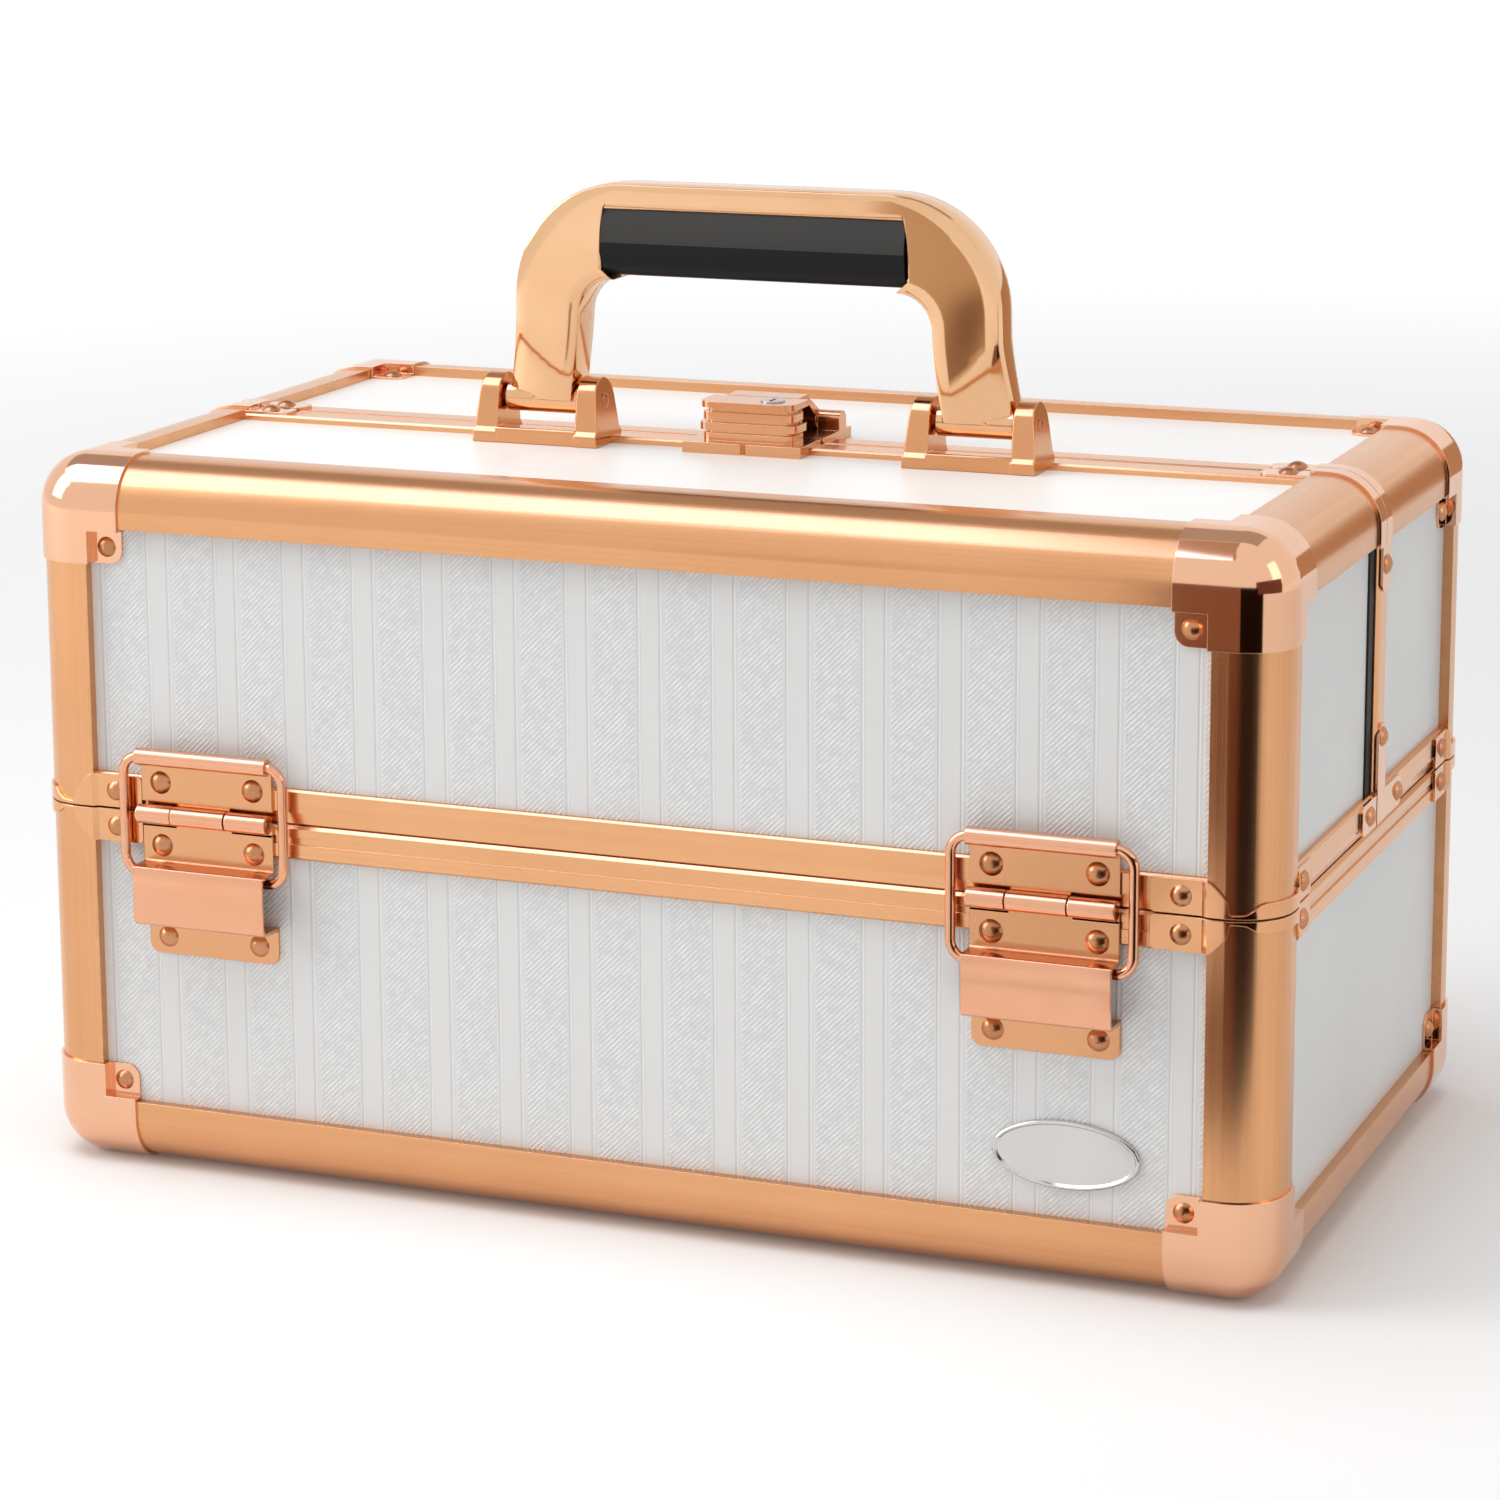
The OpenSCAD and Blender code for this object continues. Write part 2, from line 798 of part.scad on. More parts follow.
// Brackets of the front lid: belt corners, seam ends, and feet at the end of the belt
module front_lid_brackets() {
    color(ROSE) {
        for (right = [false, true])
            at_belt_corner(right, false, true) wrap_bracket(belt_half, true);
        both_sides()
            mirror([0, 1, 0]) at_seam_end() wrap_bracket(seam_half, false);
        both_sides()
            translate([-half_w + belt_d, -gap - 0.4 - 10, belt_z + gap + 0.5 + 4.4])
                rotate([90, 0, 90]) mirror([0, 0, 1])
                    linear_extrude(cap_t) translate([-5, 0]) plate_outline(15, belt_half - gap - 1);
    }
}

module front_lid_lining() {
    lid_lining();
}

module front_hinge_leaves() {
    upper_hinge_leaves();
}

module front_lid_rivets() {
    color(COPPER) {
        lid_rivets();
        both_sides() {
            mirror([0, 1, 0]) at_seam_end() wrap_rivets(seam_half, false);
            translate([-half_w + belt_d - cap_t, -7, belt_z + belt_half / 2]) rotate([0, -90, 0]) rivet();
        }
    }
}

// One clevis that holds a handle arm, standing on the top panel
module handle_bracket() {
    base_w = ear_gap + 2 * ear_t;
    ear_r = bracket_d / 2 - 1.5;
    difference() {
        union() {
            translate([-base_w / 2, -bracket_d / 2, 0]) cube([base_w, bracket_d, bracket_base]);
            for (right = [false, true])
                flip(right, [1, 0, 0])
                    difference() {
                        translate([-base_w / 2, 0, 0]) rotate([90, 0, 90])
                            linear_extrude(ear_t) {
                                translate([0, bracket_h - ear_r]) circle(ear_r);
                                polygon([
                                    [-bracket_d / 2, 0], [bracket_d / 2, 0],
                                    [ear_r, bracket_h - ear_r], [-ear_r, bracket_h - ear_r]
                                ]);
                            }
                        translate([-base_w / 2 - 1, 0, handle_pin_z - top_z]) rotate([0, 90, 0])
                            cylinder(r = handle_pin_r, h = ear_t + 2);
                        // The ear's outer face leans in towards its top
                        translate([-base_w / 2, -bracket_d, bracket_base]) rotate([0, 9, 0])
                            translate([-ear_t, 0, 0]) cube([ear_t, 2 * bracket_d, 2 * bracket_h]);
                    }
        }
        // The rear part stands on the seam rail
        translate([-base_w, handle_in - seam_half - fit, -1])
            cube([2 * base_w, bracket_d, strip_top - top_z + 1]);
    }
}

module handle_brackets() {
    color(COPPER)
        translate([handle_mid, 0, 0]) both_sides()
            translate([-handle_x, handle_y, top_z]) handle_bracket();
}

module handle_pins() {
    len = ear_gap + 2 * ear_t - 6;
    color(STEEL)
        translate([handle_mid, 0, 0]) both_sides()
            translate([-handle_x - len / 2, handle_y, handle_pin_z]) rotate([0, 90, 0])
                cylinder(r = handle_pin_r, h = len);
}

// Front part of the lock: base plates, a hollow body and the cover round the key cylinder
module lock_body() {
    body_w = lock_w - 6;
    color(ROSE)
        difference() {
            union() {
                translate([-lock_w / 2, lock_front, top_z])
                    cube([lock_w, -seam_half - fit - lock_front, strip_top - top_z + lock_t / 2]);
                translate([-lock_w / 2, lock_front, strip_top])
                    cube([lock_w, -gap - 0.4 - lock_front, lock_t]);
                for (k = [0:2])
                    translate([0, (lock_front + 4 + lock_cover - 0.6) / 2, strip_top + lock_t + 3 * k])
                        linear_extrude(2.2)
                            round_rect(body_w - (k == 1 ? 0 : 2), lock_cover - lock_front - 4.6, 3);
                translate([0, (lock_front + 5 + lock_cover - 1.2) / 2, strip_top + lock_t / 2])
                    linear_extrude(flap_top - strip_top - lock_t / 2 - flap_t / 2)
                        round_rect(body_w - 5, lock_cover - lock_front - 6.2, 2);
                translate([0, (lock_front + 3 + lock_cover) / 2, flap_top - flap_t])
                    linear_extrude(flap_t) {
                        round_rect(body_w - 1, lock_cover - lock_front - 3, 4);
                        translate([-(body_w - 1) / 2, 0]) square([body_w - 1, (lock_cover - lock_front - 3) / 2]);
                    }
            }
            // Well of the key cylinder
            translate([key_x, key_y, tongue_z - 0.3]) cylinder(r = key_r + run, h = flap_rise);
            // Room for the bolt, open to the rear
            translate([key_x - bolt_len - 0.6, key_y - bolt_t - 0.6, tongue_z - 0.3])
                cube([bolt_len + 0.6 + bolt_t + 0.6, bolt_len + 4, bolt_t + 0.6]);
            // Notch in the middle of the front edge
            translate([0, lock_front - 1, top_z - 1]) rotate(45) cube([3.4, 3.4, 9], center = true);
        }
}

module front_tray_pins() {
    tray_pins();
}

module rear_upper_panel() {
    mirror([0, 1, 0]) upper_panel();
}

module rear_top_panel() {
    mirror([0, 1, 0]) top_panel();
}

module rear_lid_ends() {
    mirror([0, 1, 0]) lid_ends();
}

module rear_lid_rails() {
    mirror([0, 1, 0]) lid_rails();
}

module rear_lid_posts() {
    mirror([0, 1, 0]) lid_posts();
}

module rear_lid_belt_rails() {
    mirror([0, 1, 0]) lid_belt_rails();
}

module rear_seam_rails() {
    color(COPPER) {
        top_seam_rail();
        both_sides()
            translate([-half_w, 0, belt_z + belt_half])
                linear_extrude(case_h - rail_end - belt_z - belt_half) seam_section();
    }
}

module rear_corner_caps() {
    mirror([0, 1, 0]) lid_caps();
}

// Brackets of the rear lid: belt corners, seam ends, and angle plates where seam meets belt
module rear_lid_brackets() {
    color(ROSE) {
        for (right = [false, true])
            at_belt_corner(right, true, true) wrap_bracket(belt_half, true);
        both_sides()
            at_seam_end() wrap_bracket(seam_half, true);
        both_sides()
            translate([-half_w + belt_d, 0, belt_z]) rotate([90, 0, 90]) mirror([0, 0, 1])
                linear_extrude(cap_t) {
                    end_r = (seam_half - 1.2) / 2;
                    translate([gap + 0.4, gap + 0.4]) square([2 * end_r, angle_leg - 4]);
                    translate([gap + 0.4 + end_r, gap + angle_leg - 3.6]) circle(end_r);
                    translate([angle_leg, (belt_half + gap) / 2]) rotate(180)
                        plate_outline(angle_leg - 2, belt_half - gap - 1);
                }
    }
}

module rear_lid_lining() {
    mirror([0, 1, 0]) lid_lining();
}

module rear_hinge_leaves() {
    mirror([0, 1, 0]) upper_hinge_leaves();
}

module rear_lid_rivets() {
    color(COPPER) {
        mirror([0, 1, 0]) lid_rivets();
        both_sides() {
            at_seam_end() wrap_rivets(seam_half, true);
            for (place = [[seam_half / 2, angle_leg - 3], [angle_leg - 4, belt_half / 2]])
                translate([-half_w + belt_d - cap_t, place[0], belt_z + place[1]])
                    rotate([0, -90, 0]) rivet();
        }
    }
}

// Rear part of the lock: plates on the rear lid with the two outer knuckles of the flap
module hasp_base() {
    knuckle_w = (lock_w - hasp_knuckle) / 2;
    back = hasp_y + hasp_back;
    color(ROSE)
        difference() {
            union() {
                translate([-lock_w / 2, seam_half + fit, top_z])
                    cube([lock_w, back - seam_half - fit, strip_top - top_z + lock_t / 2]);
                translate([-lock_w / 2, gap + 0.4, strip_top]) cube([lock_w, back - gap - 0.4, lock_t]);
                both_sides()
                    translate([-lock_w / 2, hasp_y, 0]) {
                        translate([0, 0, hasp_z]) rotate([0, 90, 0]) cylinder(r = hasp_r, h = knuckle_w - clear);
                        translate([0, -hasp_r, strip_top + lock_t / 2])
                            cube([knuckle_w - clear, 2 * hasp_r, hasp_z - strip_top - lock_t / 2]);
                    }
            }
            translate([-lock_w, hasp_y, hasp_z]) rotate([0, 90, 0])
                cylinder(r = hasp_pin_r, h = 2 * lock_w);
        }
    color(STEEL)
        translate([-lock_w / 2, hasp_y, hasp_z]) rotate([0, 90, 0]) cylinder(r = hasp_pin_r, h = lock_w);
}

module rear_tray_pins() {
    mirror([0, 1, 0]) tray_pins();
}

// Outline of the handle's core, drawn in by an edge that is rounded afterwards
module handle_outline(edge) {
    outer = handle_w / 2 - edge;
    opening = handle_w / 2 - arm_w + edge;
    bend = 30 - edge;
    under = handle_top - strap_t - grip_h;
    foot = handle_pin_z + 2;
    difference() {
        union() {
            translate([-outer, foot]) square([2 * outer, handle_top - edge - bend - foot]);
            translate([-outer + bend, foot]) square([2 * (outer - bend), handle_top - edge - foot]);
            for (x = [-1, 1])
                translate([x * (outer - bend), handle_top - edge - bend]) circle(bend);
        }
        translate([-opening, 0]) square([2 * opening, under - 10 + edge]);
        translate([-opening + 10, 0]) square([2 * opening - 20, under + edge]);
        for (x = [-1, 1])
            translate([x * (opening - 10), under - 10 + edge]) circle(10);
        translate([-grip_len / 2 - edge, 0]) square([grip_len + 2 * edge, handle_top - strap_t + edge]);
    }
}

// Arch of the handle with rounded edges, and a foot on each pin
module handle_frame() {
    foot_r = handle_t / 2;
    color(COPPER)
        translate([handle_mid, handle_y, 0])
            difference() {
                union() {
                    minkowski() {
                        along_handle(handle_t - 2 * handle_edge) handle_outline(handle_edge);
                        sphere(handle_edge, $fn = 16);
                    }
                    both_sides()
                        translate([-handle_w / 2, 0, handle_pin_z]) {
                            rotate([0, 90, 0]) cylinder(r = foot_r, h = arm_w);
                            translate([0, -foot_r, 0]) cube([arm_w, handle_t, 4]);
                        }
                }
                translate([-handle_w, 0, handle_pin_z]) rotate([0, 90, 0])
                    cylinder(r = handle_pin_r + run, h = 2 * handle_w);
            }
}

// Extrudes an outline in the plane of the handle, centred on it
module along_handle(t) {
    along_y(-t / 2, t / 2) children();
}

module handle_grip() {
    color(BLACK)
        translate([handle_mid, handle_y, handle_top - strap_t - grip_h / 2])
            rotate([90, 0, 90]) linear_extrude(grip_len, center = true)
                round_rect(handle_t + 1, grip_h, 5);
}

// Flap of the lock: a plate over the seam, a slope to its knuckle, and a staple for the bolt
module hasp_flap() {
    plate_end = 8;
    staple_y = 2;
    color(ROSE) {
        translate([-flap_w / 2, flap_nose, flap_top - flap_t])
            cube([flap_w, plate_end - flap_nose, flap_t]);
        difference() {
            union() {
                translate([-hasp_knuckle / 2 + clear, hasp_y, hasp_z]) rotate([0, 90, 0])
                    cylinder(r = hasp_r, h = hasp_knuckle - 2 * clear);
                translate([-hasp_knuckle / 2 + clear, 0, 0]) rotate([90, 0, 90])
                    linear_extrude(hasp_knuckle - 2 * clear)
                        polygon([
                            [plate_end - 1, flap_top], [plate_end - 1, flap_top - flap_t],
                            [hasp_y - 1, hasp_z], [hasp_y + 1.5, hasp_z + 2]
                        ]);
            }
            translate([-lock_w, hasp_y, hasp_z]) rotate([0, 90, 0])
                cylinder(r = hasp_pin_r + run, h = 2 * lock_w);
        }
        difference() {
            translate([-7, staple_y, tongue_z - 1.6]) cube([17.5, 2, flap_top - flap_t / 2 - tongue_z + 1.6]);
            translate([-4.5, staple_y - 1, tongue_z - 0.6]) cube([13.5, 4, bolt_t + 1.4]);
        }
    }
}

// Key cylinder with its slot and the bolt that it turns
module key_cylinder() {
    color(STEEL) {
        difference() {
            translate([key_x, key_y, tongue_z]) cylinder(r = key_r, h = flap_top + 0.4 - tongue_z);
            translate([key_x, key_y, flap_top]) cube([1, 5, 3], center = true);
        }
        translate([key_x - bolt_len, key_y - bolt_t, tongue_z]) cube([bolt_len, 2 * bolt_t, bolt_t]);
    }
}

// Quarter bend of the ring's wire
module wire_bend(r) {
    rotate_extrude(angle = 90) translate([r, 0]) circle(wire_r, $fn = 24);
}

// Stay ring, with its upper bar at the lip; Y is the depth and Z is measured from the hinge pin
module stay_ring() {
    bend = 5;
    half = ring_w / 2;
    translate([0, pin_d, ring_up - ring_len / 2]) {
        for (z = [-1, 1])
            translate([-half + bend, 0, z * ring_len / 2]) rotate([0, 90, 0])
                cylinder(r = wire_r, h = ring_w - 2 * bend, $fn = 24);
        for (x = [-1, 1])
            translate([x * half, 0, -ring_len / 2 + bend])
                cylinder(r = wire_r, h = ring_len - 2 * bend, $fn = 24);
        for (x = [false, true], z = [false, true])
            flip(x, [1, 0, 0]) flip(z, [0, 0, 1])
                translate([half - bend, 0, ring_len / 2 - bend]) rotate([90, 0, 0]) wire_bend(bend);
    }
}

module front_stay_rings() {
    color(ROSE)
        at_front_hinges() stay_ring();
}

module rear_stay_rings() {
    mirror([0, 1, 0]) front_stay_rings();
}

// Flat arm from the plate's pivot to both trays, with a stud for each tray
module front_linkage_arms() {
    color(STEEL)
        both_sides()
            translate([-half_w + arm_d, pivot_y, pivot_z]) {
                difference() {
                    rotate([90 - link_lean, 0, 0]) rotate([90, 0, 90])
                        linear_extrude(link_t) {
                            translate([0, -link_w / 2]) square([link_len, link_w]);
                            circle(link_w / 2);
                            translate([link_len, 0]) circle(link_w / 2);
                        }
                    translate([-1, 0, 0]) rotate([0, 90, 0]) cylinder(r = link_pin_r + run, h = link_t + 2);
                }
                for (k = [share, 1])
                    translate([0, k * link_y, k * link_z]) rotate([0, 90, 0]) {
                        cylinder(r = link_pin_r, h = tray_d - arm_d + tray_wall + 2 * clear);
                        translate([0, 0, tray_d - arm_d + tray_wall + clear])
                            cylinder(r = head_r, h = head_t);
                    }
            }
}

module rear_linkage_arms() {
    mirror([0, 1, 0]) front_linkage_arms();
}

// Open tray with a bore in each end for the lid's pin and for the arm's stud
module tray(out, z, h, k) {
    color(BLACK)
        difference() {
            translate([-tray_half, -out, z]) cube([2 * tray_half, out - tray_in, h]);
            translate([-tray_half + tray_wall, -out + tray_wall, z + tray_wall])
                cube([2 * (tray_half - tray_wall), out - tray_in - 2 * tray_wall, h]);
            for (base = [[pin_y, belt_z], [pivot_y, pivot_z]])
                translate([-half_w, base[0] + k * link_y, base[1] + k * link_z]) rotate([0, 90, 0])
                    cylinder(r = link_pin_r + run, h = case_w);
        }
}

module front_lower_tray() {
    tray(low_tray_out, low_tray_z, low_tray_h, share);
}

module front_upper_tray() {
    tray(up_tray_out, up_tray_z, up_tray_h, 1);
}

module rear_lower_tray() {
    mirror([0, 1, 0]) front_lower_tray();
}

module rear_upper_tray() {
    mirror([0, 1, 0]) front_upper_tray();
}

bottom_panel();
lower_front_panel();
lower_rear_panel();
lower_end_panels();
bottom_rails();
lower_corner_posts();
lower_belt_rails();
bottom_corner_caps();
lower_belt_brackets();
lower_lining();
lower_hinge_leaves();
hinge_pins();
lower_rivets();
oval_plate();
linkage_plates();
linkage_pivots();
front_upper_panel();
front_top_panel();
front_lid_ends();
front_lid_rails();
front_lid_posts();
front_lid_belt_rails();
front_seam_rail();
front_seam_seals();
front_corner_caps();
front_lid_brackets();
front_lid_lining();
front_hinge_leaves();
front_lid_rivets();
handle_brackets();
handle_pins();
lock_body();
front_tray_pins();
rear_upper_panel();
rear_top_panel();
rear_lid_ends();
rear_lid_rails();
rear_lid_posts();
rear_lid_belt_rails();
rear_seam_rails();
rear_corner_caps();
rear_lid_brackets();
rear_lid_lining();
rear_hinge_leaves();
rear_lid_rivets();
hasp_base();
rear_tray_pins();
handle_frame();
handle_grip();
hasp_flap();
key_cylinder();
front_stay_rings();
rear_stay_rings();
front_linkage_arms();
rear_linkage_arms();
front_lower_tray();
front_upper_tray();
rear_lower_tray();
rear_upper_tray();
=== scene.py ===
"""Looks of a hard makeup case with copper rails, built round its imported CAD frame.

Lengths are in millimetres inside the classes and turned into metres by the mesh helpers.
The frame's origin is at the bottom centre of the case, X to the right, Y to the back, Z up.
"""
from __future__ import annotations

import json
import logging
import math
from dataclasses import dataclass
from enum import Enum
from typing import Callable, Iterable, Sequence

import bmesh
import bpy
from mathutils import Matrix, Vector

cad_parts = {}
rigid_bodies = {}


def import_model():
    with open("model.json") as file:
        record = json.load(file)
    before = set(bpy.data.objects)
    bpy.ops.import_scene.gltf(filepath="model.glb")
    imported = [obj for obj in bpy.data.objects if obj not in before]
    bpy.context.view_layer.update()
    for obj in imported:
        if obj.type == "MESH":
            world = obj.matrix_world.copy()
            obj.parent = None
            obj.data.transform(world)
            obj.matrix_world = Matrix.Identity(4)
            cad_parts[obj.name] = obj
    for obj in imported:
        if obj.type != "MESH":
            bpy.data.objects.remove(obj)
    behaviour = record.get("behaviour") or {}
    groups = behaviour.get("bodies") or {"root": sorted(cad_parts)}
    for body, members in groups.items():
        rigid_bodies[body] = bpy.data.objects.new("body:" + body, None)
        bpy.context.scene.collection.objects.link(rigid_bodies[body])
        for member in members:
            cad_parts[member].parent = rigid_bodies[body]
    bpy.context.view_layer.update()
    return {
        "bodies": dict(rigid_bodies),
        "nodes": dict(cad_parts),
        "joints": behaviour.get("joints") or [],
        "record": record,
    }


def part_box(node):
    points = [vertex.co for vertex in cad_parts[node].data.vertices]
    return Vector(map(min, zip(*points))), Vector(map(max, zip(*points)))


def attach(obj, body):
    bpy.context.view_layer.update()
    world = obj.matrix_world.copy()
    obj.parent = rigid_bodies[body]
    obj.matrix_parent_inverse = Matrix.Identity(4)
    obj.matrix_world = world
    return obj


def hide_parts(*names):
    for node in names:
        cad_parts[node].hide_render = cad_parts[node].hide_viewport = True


log = logging.getLogger("makeup_case")
MM = 0.001
RELIEF = 0.0002  # metres that a full bump stands for
Point = tuple[float, float, float]
Spot = tuple[float, float]
Outline = list[Spot]
Tone = tuple[float, float, float]  # display colour, 0 to 255 a channel


def linear(red: float, green: float, blue: float) -> tuple[float, float, float, float]:
    """Turns an 8-bit display colour into Blender's linear colour.

    Args:
        red, green, blue: Channels from 0 to 255.

    Returns:
        The colour with alpha 1.
    """
    def channel(value: float) -> float:
        """One channel, display to linear."""
        v = value / 255
        return v / 12.92 if v <= 0.04045 else ((v + 0.055) / 1.055) ** 2.4
    return (channel(red), channel(green), channel(blue), 1.0)


class Nodes:
    """Adds and joins the nodes of one material or group with few words."""

    def __init__(self, tree: bpy.types.NodeTree) -> None:
        """Keeps the tree that is written to."""
        self.tree = tree

    def feed(self, socket: bpy.types.NodeSocket, value: object) -> None:
        """Links a source to an input socket, or sets the socket's own value.

        Args:
            socket: The input.
            value: An output socket, or a plain value.
        """
        if isinstance(value, bpy.types.NodeSocket):
            self.tree.links.new(value, socket)
        else:
            socket.default_value = value

    def add(self, kind: str, values: dict[str | int, object] | None = None, **settings: object) -> bpy.types.Node:
        """Adds a node.

        Args:
            kind: Blender's node class, without its ShaderNode prefix.
            values: Input socket values or incoming sockets, by socket name or index.
            **settings: Attributes of the node itself.

        Returns:
            The new node.
        """
        node = self.tree.nodes.new("ShaderNode" + kind)
        for name, value in settings.items():
            setattr(node, name, value)
        for name, value in (values or {}).items():
            self.feed(node.inputs[name], value)
        return node

    def place(self) -> bpy.types.NodeSocket:
        """The place on the case, in metres of its frame."""
        return self.add("TexCoord").outputs["Object"]

    def math(self, operation: str, *inputs: object) -> bpy.types.NodeSocket:
        """Adds a Math node and returns its result."""
        return self.add("Math", dict(enumerate(inputs)), operation=operation).outputs[0]

    def span(self, value: bpy.types.NodeSocket, low: float, high: float, to_low: float, to_high: float
             ) -> bpy.types.NodeSocket:
        """Maps a value from one span to another, held inside it."""
        return self.add("MapRange", {"Value": value, "From Min": low, "From Max": high,
                                     "To Min": to_low, "To Max": to_high}).outputs[0]

    def blend(self, mask: object, first: object, second: object) -> bpy.types.NodeSocket:
        """Mixes two colours.

        Args:
            mask: Share of the second colour.
            first, second: Colours or sockets.

        Returns:
            The mixed colour.
        """
        node = self.add("Mix", data_type="RGBA")
        for index, value in ((0, mask), (6, first), (7, second)):
            self.feed(node.inputs[index], value)
        return node.outputs[2]

    def group(self, group: bpy.types.NodeTree, **values: object) -> bpy.types.Node:
        """Places a shared effect.

        Args:
            group: The effect's node group.
            **values: Its inputs, by name.

        Returns:
            The group node.
        """
        return self.add("Group", values, node_tree=group)


def effect_group(name: str, inputs: Sequence[tuple[str, str, object]], outputs: Sequence[tuple[str, str]]
                 ) -> tuple[Nodes, bpy.types.NodeOutputs, bpy.types.NodeInputs]:
    """Makes an empty shader node group.

    Args:
        name: Name of the group.
        inputs: Name, socket type and default of each input.
        outputs: Name and socket type of each output.

    Returns:
        The group's node helper, the sockets that come in and the sockets that go out.
    """
    tree = bpy.data.node_groups.new(name, "ShaderNodeTree")
    for label, kind, default in inputs:
        socket = tree.interface.new_socket(label, in_out="INPUT", socket_type="NodeSocket" + kind)
        if default is not None:
            socket.default_value = default
    for label, kind in outputs:
        tree.interface.new_socket(label, in_out="OUTPUT", socket_type="NodeSocket" + kind)
    return Nodes(tree), tree.nodes.new("NodeGroupInput").outputs, tree.nodes.new("NodeGroupOutput").inputs


class Effects:
    """The effects that several materials share, each built once as a node group."""

    def __init__(self) -> None:
        """Builds every group."""
        self.grain = self._grain()
        self.soft_edges = self._soft_edges()
        self.mottle = self._mottle()
        self.rail_lay = self._rail_lay()

    def _grain(self) -> bpy.types.NodeTree:
        """Brush streaks: fine and wide noise, drawn out by the vector that comes in.

        Returns:
            A group from a stretched vector to a streak mask and a height.
        """
        n, inn, out = effect_group(
            "Brush streaks", [("Vector", "Vector", None), ("Scale", "Float", 1.0), ("Contrast", "Float", 1.0)],
            [("Streak", "Float"), ("Height", "Float")])
        fine = n.add("TexNoise", {"Vector": inn["Vector"], "Scale": inn["Scale"],
                                  "Detail": 6.0, "Roughness": 0.7})
        wide = n.add("TexNoise", {"Vector": inn["Vector"],
                                  "Scale": n.math("MULTIPLY", inn["Scale"], 0.22), "Detail": 2.0})
        both = n.math("ADD", n.math("MULTIPLY", fine.outputs[0], 0.6), n.math("MULTIPLY", wide.outputs[0], 0.4))
        centred = n.math("MULTIPLY", n.math("SUBTRACT", both, 0.5), inn["Contrast"])
        streak = n.add("Clamp", {"Value": n.math("ADD", centred, 0.5)})
        n.feed(out["Streak"], streak.outputs[0])
        n.feed(out["Height"], fine.outputs[0])
        return n.tree

    def _soft_edges(self) -> bpy.types.NodeTree:
        """Rounded edges for shading, and a mask of those edges, where metals take a painted edge colour.

        Returns:
            A group from a radius in metres to a normal and an edge mask.
        """
        n, inn, out = effect_group("Soft edges", [("Radius", "Float", 0.0003)],
                                   [("Normal", "Vector"), ("Edge", "Float")])
        bevel = n.add("Bevel", {"Radius": inn["Radius"]}, samples=4)
        face = n.add("NewGeometry")
        same = n.add("VectorMath", {0: bevel.outputs[0], 1: face.outputs["Normal"]}, operation="DOT_PRODUCT")
        edge = n.span(same.outputs["Value"], 0.82, 0.99, 1.0, 0.0)
        n.feed(out["Normal"], bevel.outputs[0])
        n.feed(out["Edge"], edge)
        return n.tree

    def _mottle(self) -> bpy.types.NodeTree:
        """Faint uneven patches, as handling and plating leave them.

        Returns:
            A group from a scale, and the noise that counts as none and as full, to a mask.
        """
        n, inn, out = effect_group(
            "Handling marks", [("Scale", "Float", 20.0), ("Low", "Float", 0.35), ("High", "Float", 0.75)],
            [("Mask", "Float")])
        cloud = n.add("TexNoise", {"Vector": n.place(), "Scale": inn["Scale"],
                                   "Detail": 4.0, "Roughness": 0.55, "Distortion": 0.4})
        mask = n.add("MapRange", {"Value": cloud.outputs[0], "From Min": inn["Low"],
                                  "From Max": inn["High"]})
        n.feed(out["Mask"], mask.outputs[0])
        return n.tree

    def _rail_lay(self) -> bpy.types.NodeTree:
        """Stretched coordinates that run along whichever rail of the case is at that place.

        Returns:
            A group to a vector, from the rails' inner edges and the half width of the seam strip in
            metres, and the noise's scale along and across a rail.
        """
        n, inn, out = effect_group(
            "Rail direction", [("Side", "Float", 0.1637), ("Front", "Float", 0.0862), ("Seam", "Float", 0.0118),
                               ("Long", "Float", 2.2), ("Across", "Float", 420.0)], [("Vector", "Vector")])
        where = n.add("SeparateXYZ", {0: n.place()}).outputs
        far_x, far_y = n.math("ABSOLUTE", where[0]), n.math("ABSOLUTE", where[1])
        side = n.math("GREATER_THAN", far_x, inn["Side"])
        corner = n.math("GREATER_THAN", far_y, inn["Front"])
        seam = n.math("LESS_THAN", far_y, inn["Seam"])
        upright = n.math("MULTIPLY", side, n.math("MAXIMUM", corner, seam))
        deep = n.math("SUBTRACT", side, upright)
        wide = n.math("SUBTRACT", 1.0, side)
        pulled = []
        for axis, along in zip(where, (wide, deep, upright)):
            scale = n.math("ADD", n.math("MULTIPLY", inn["Long"], along),
                           n.math("MULTIPLY", inn["Across"], n.math("SUBTRACT", 1.0, along)))
            pulled.append(n.math("MULTIPLY", axis, scale))
        vector = n.add("CombineXYZ", dict(enumerate(pulled)))
        n.feed(out["Vector"], vector.outputs[0])
        return n.tree


class Lay(Enum):
    """Where the brush streaks of a metal take their direction from."""

    ALONG_RAIL = "along the rail at that place"
    NONE = "none"


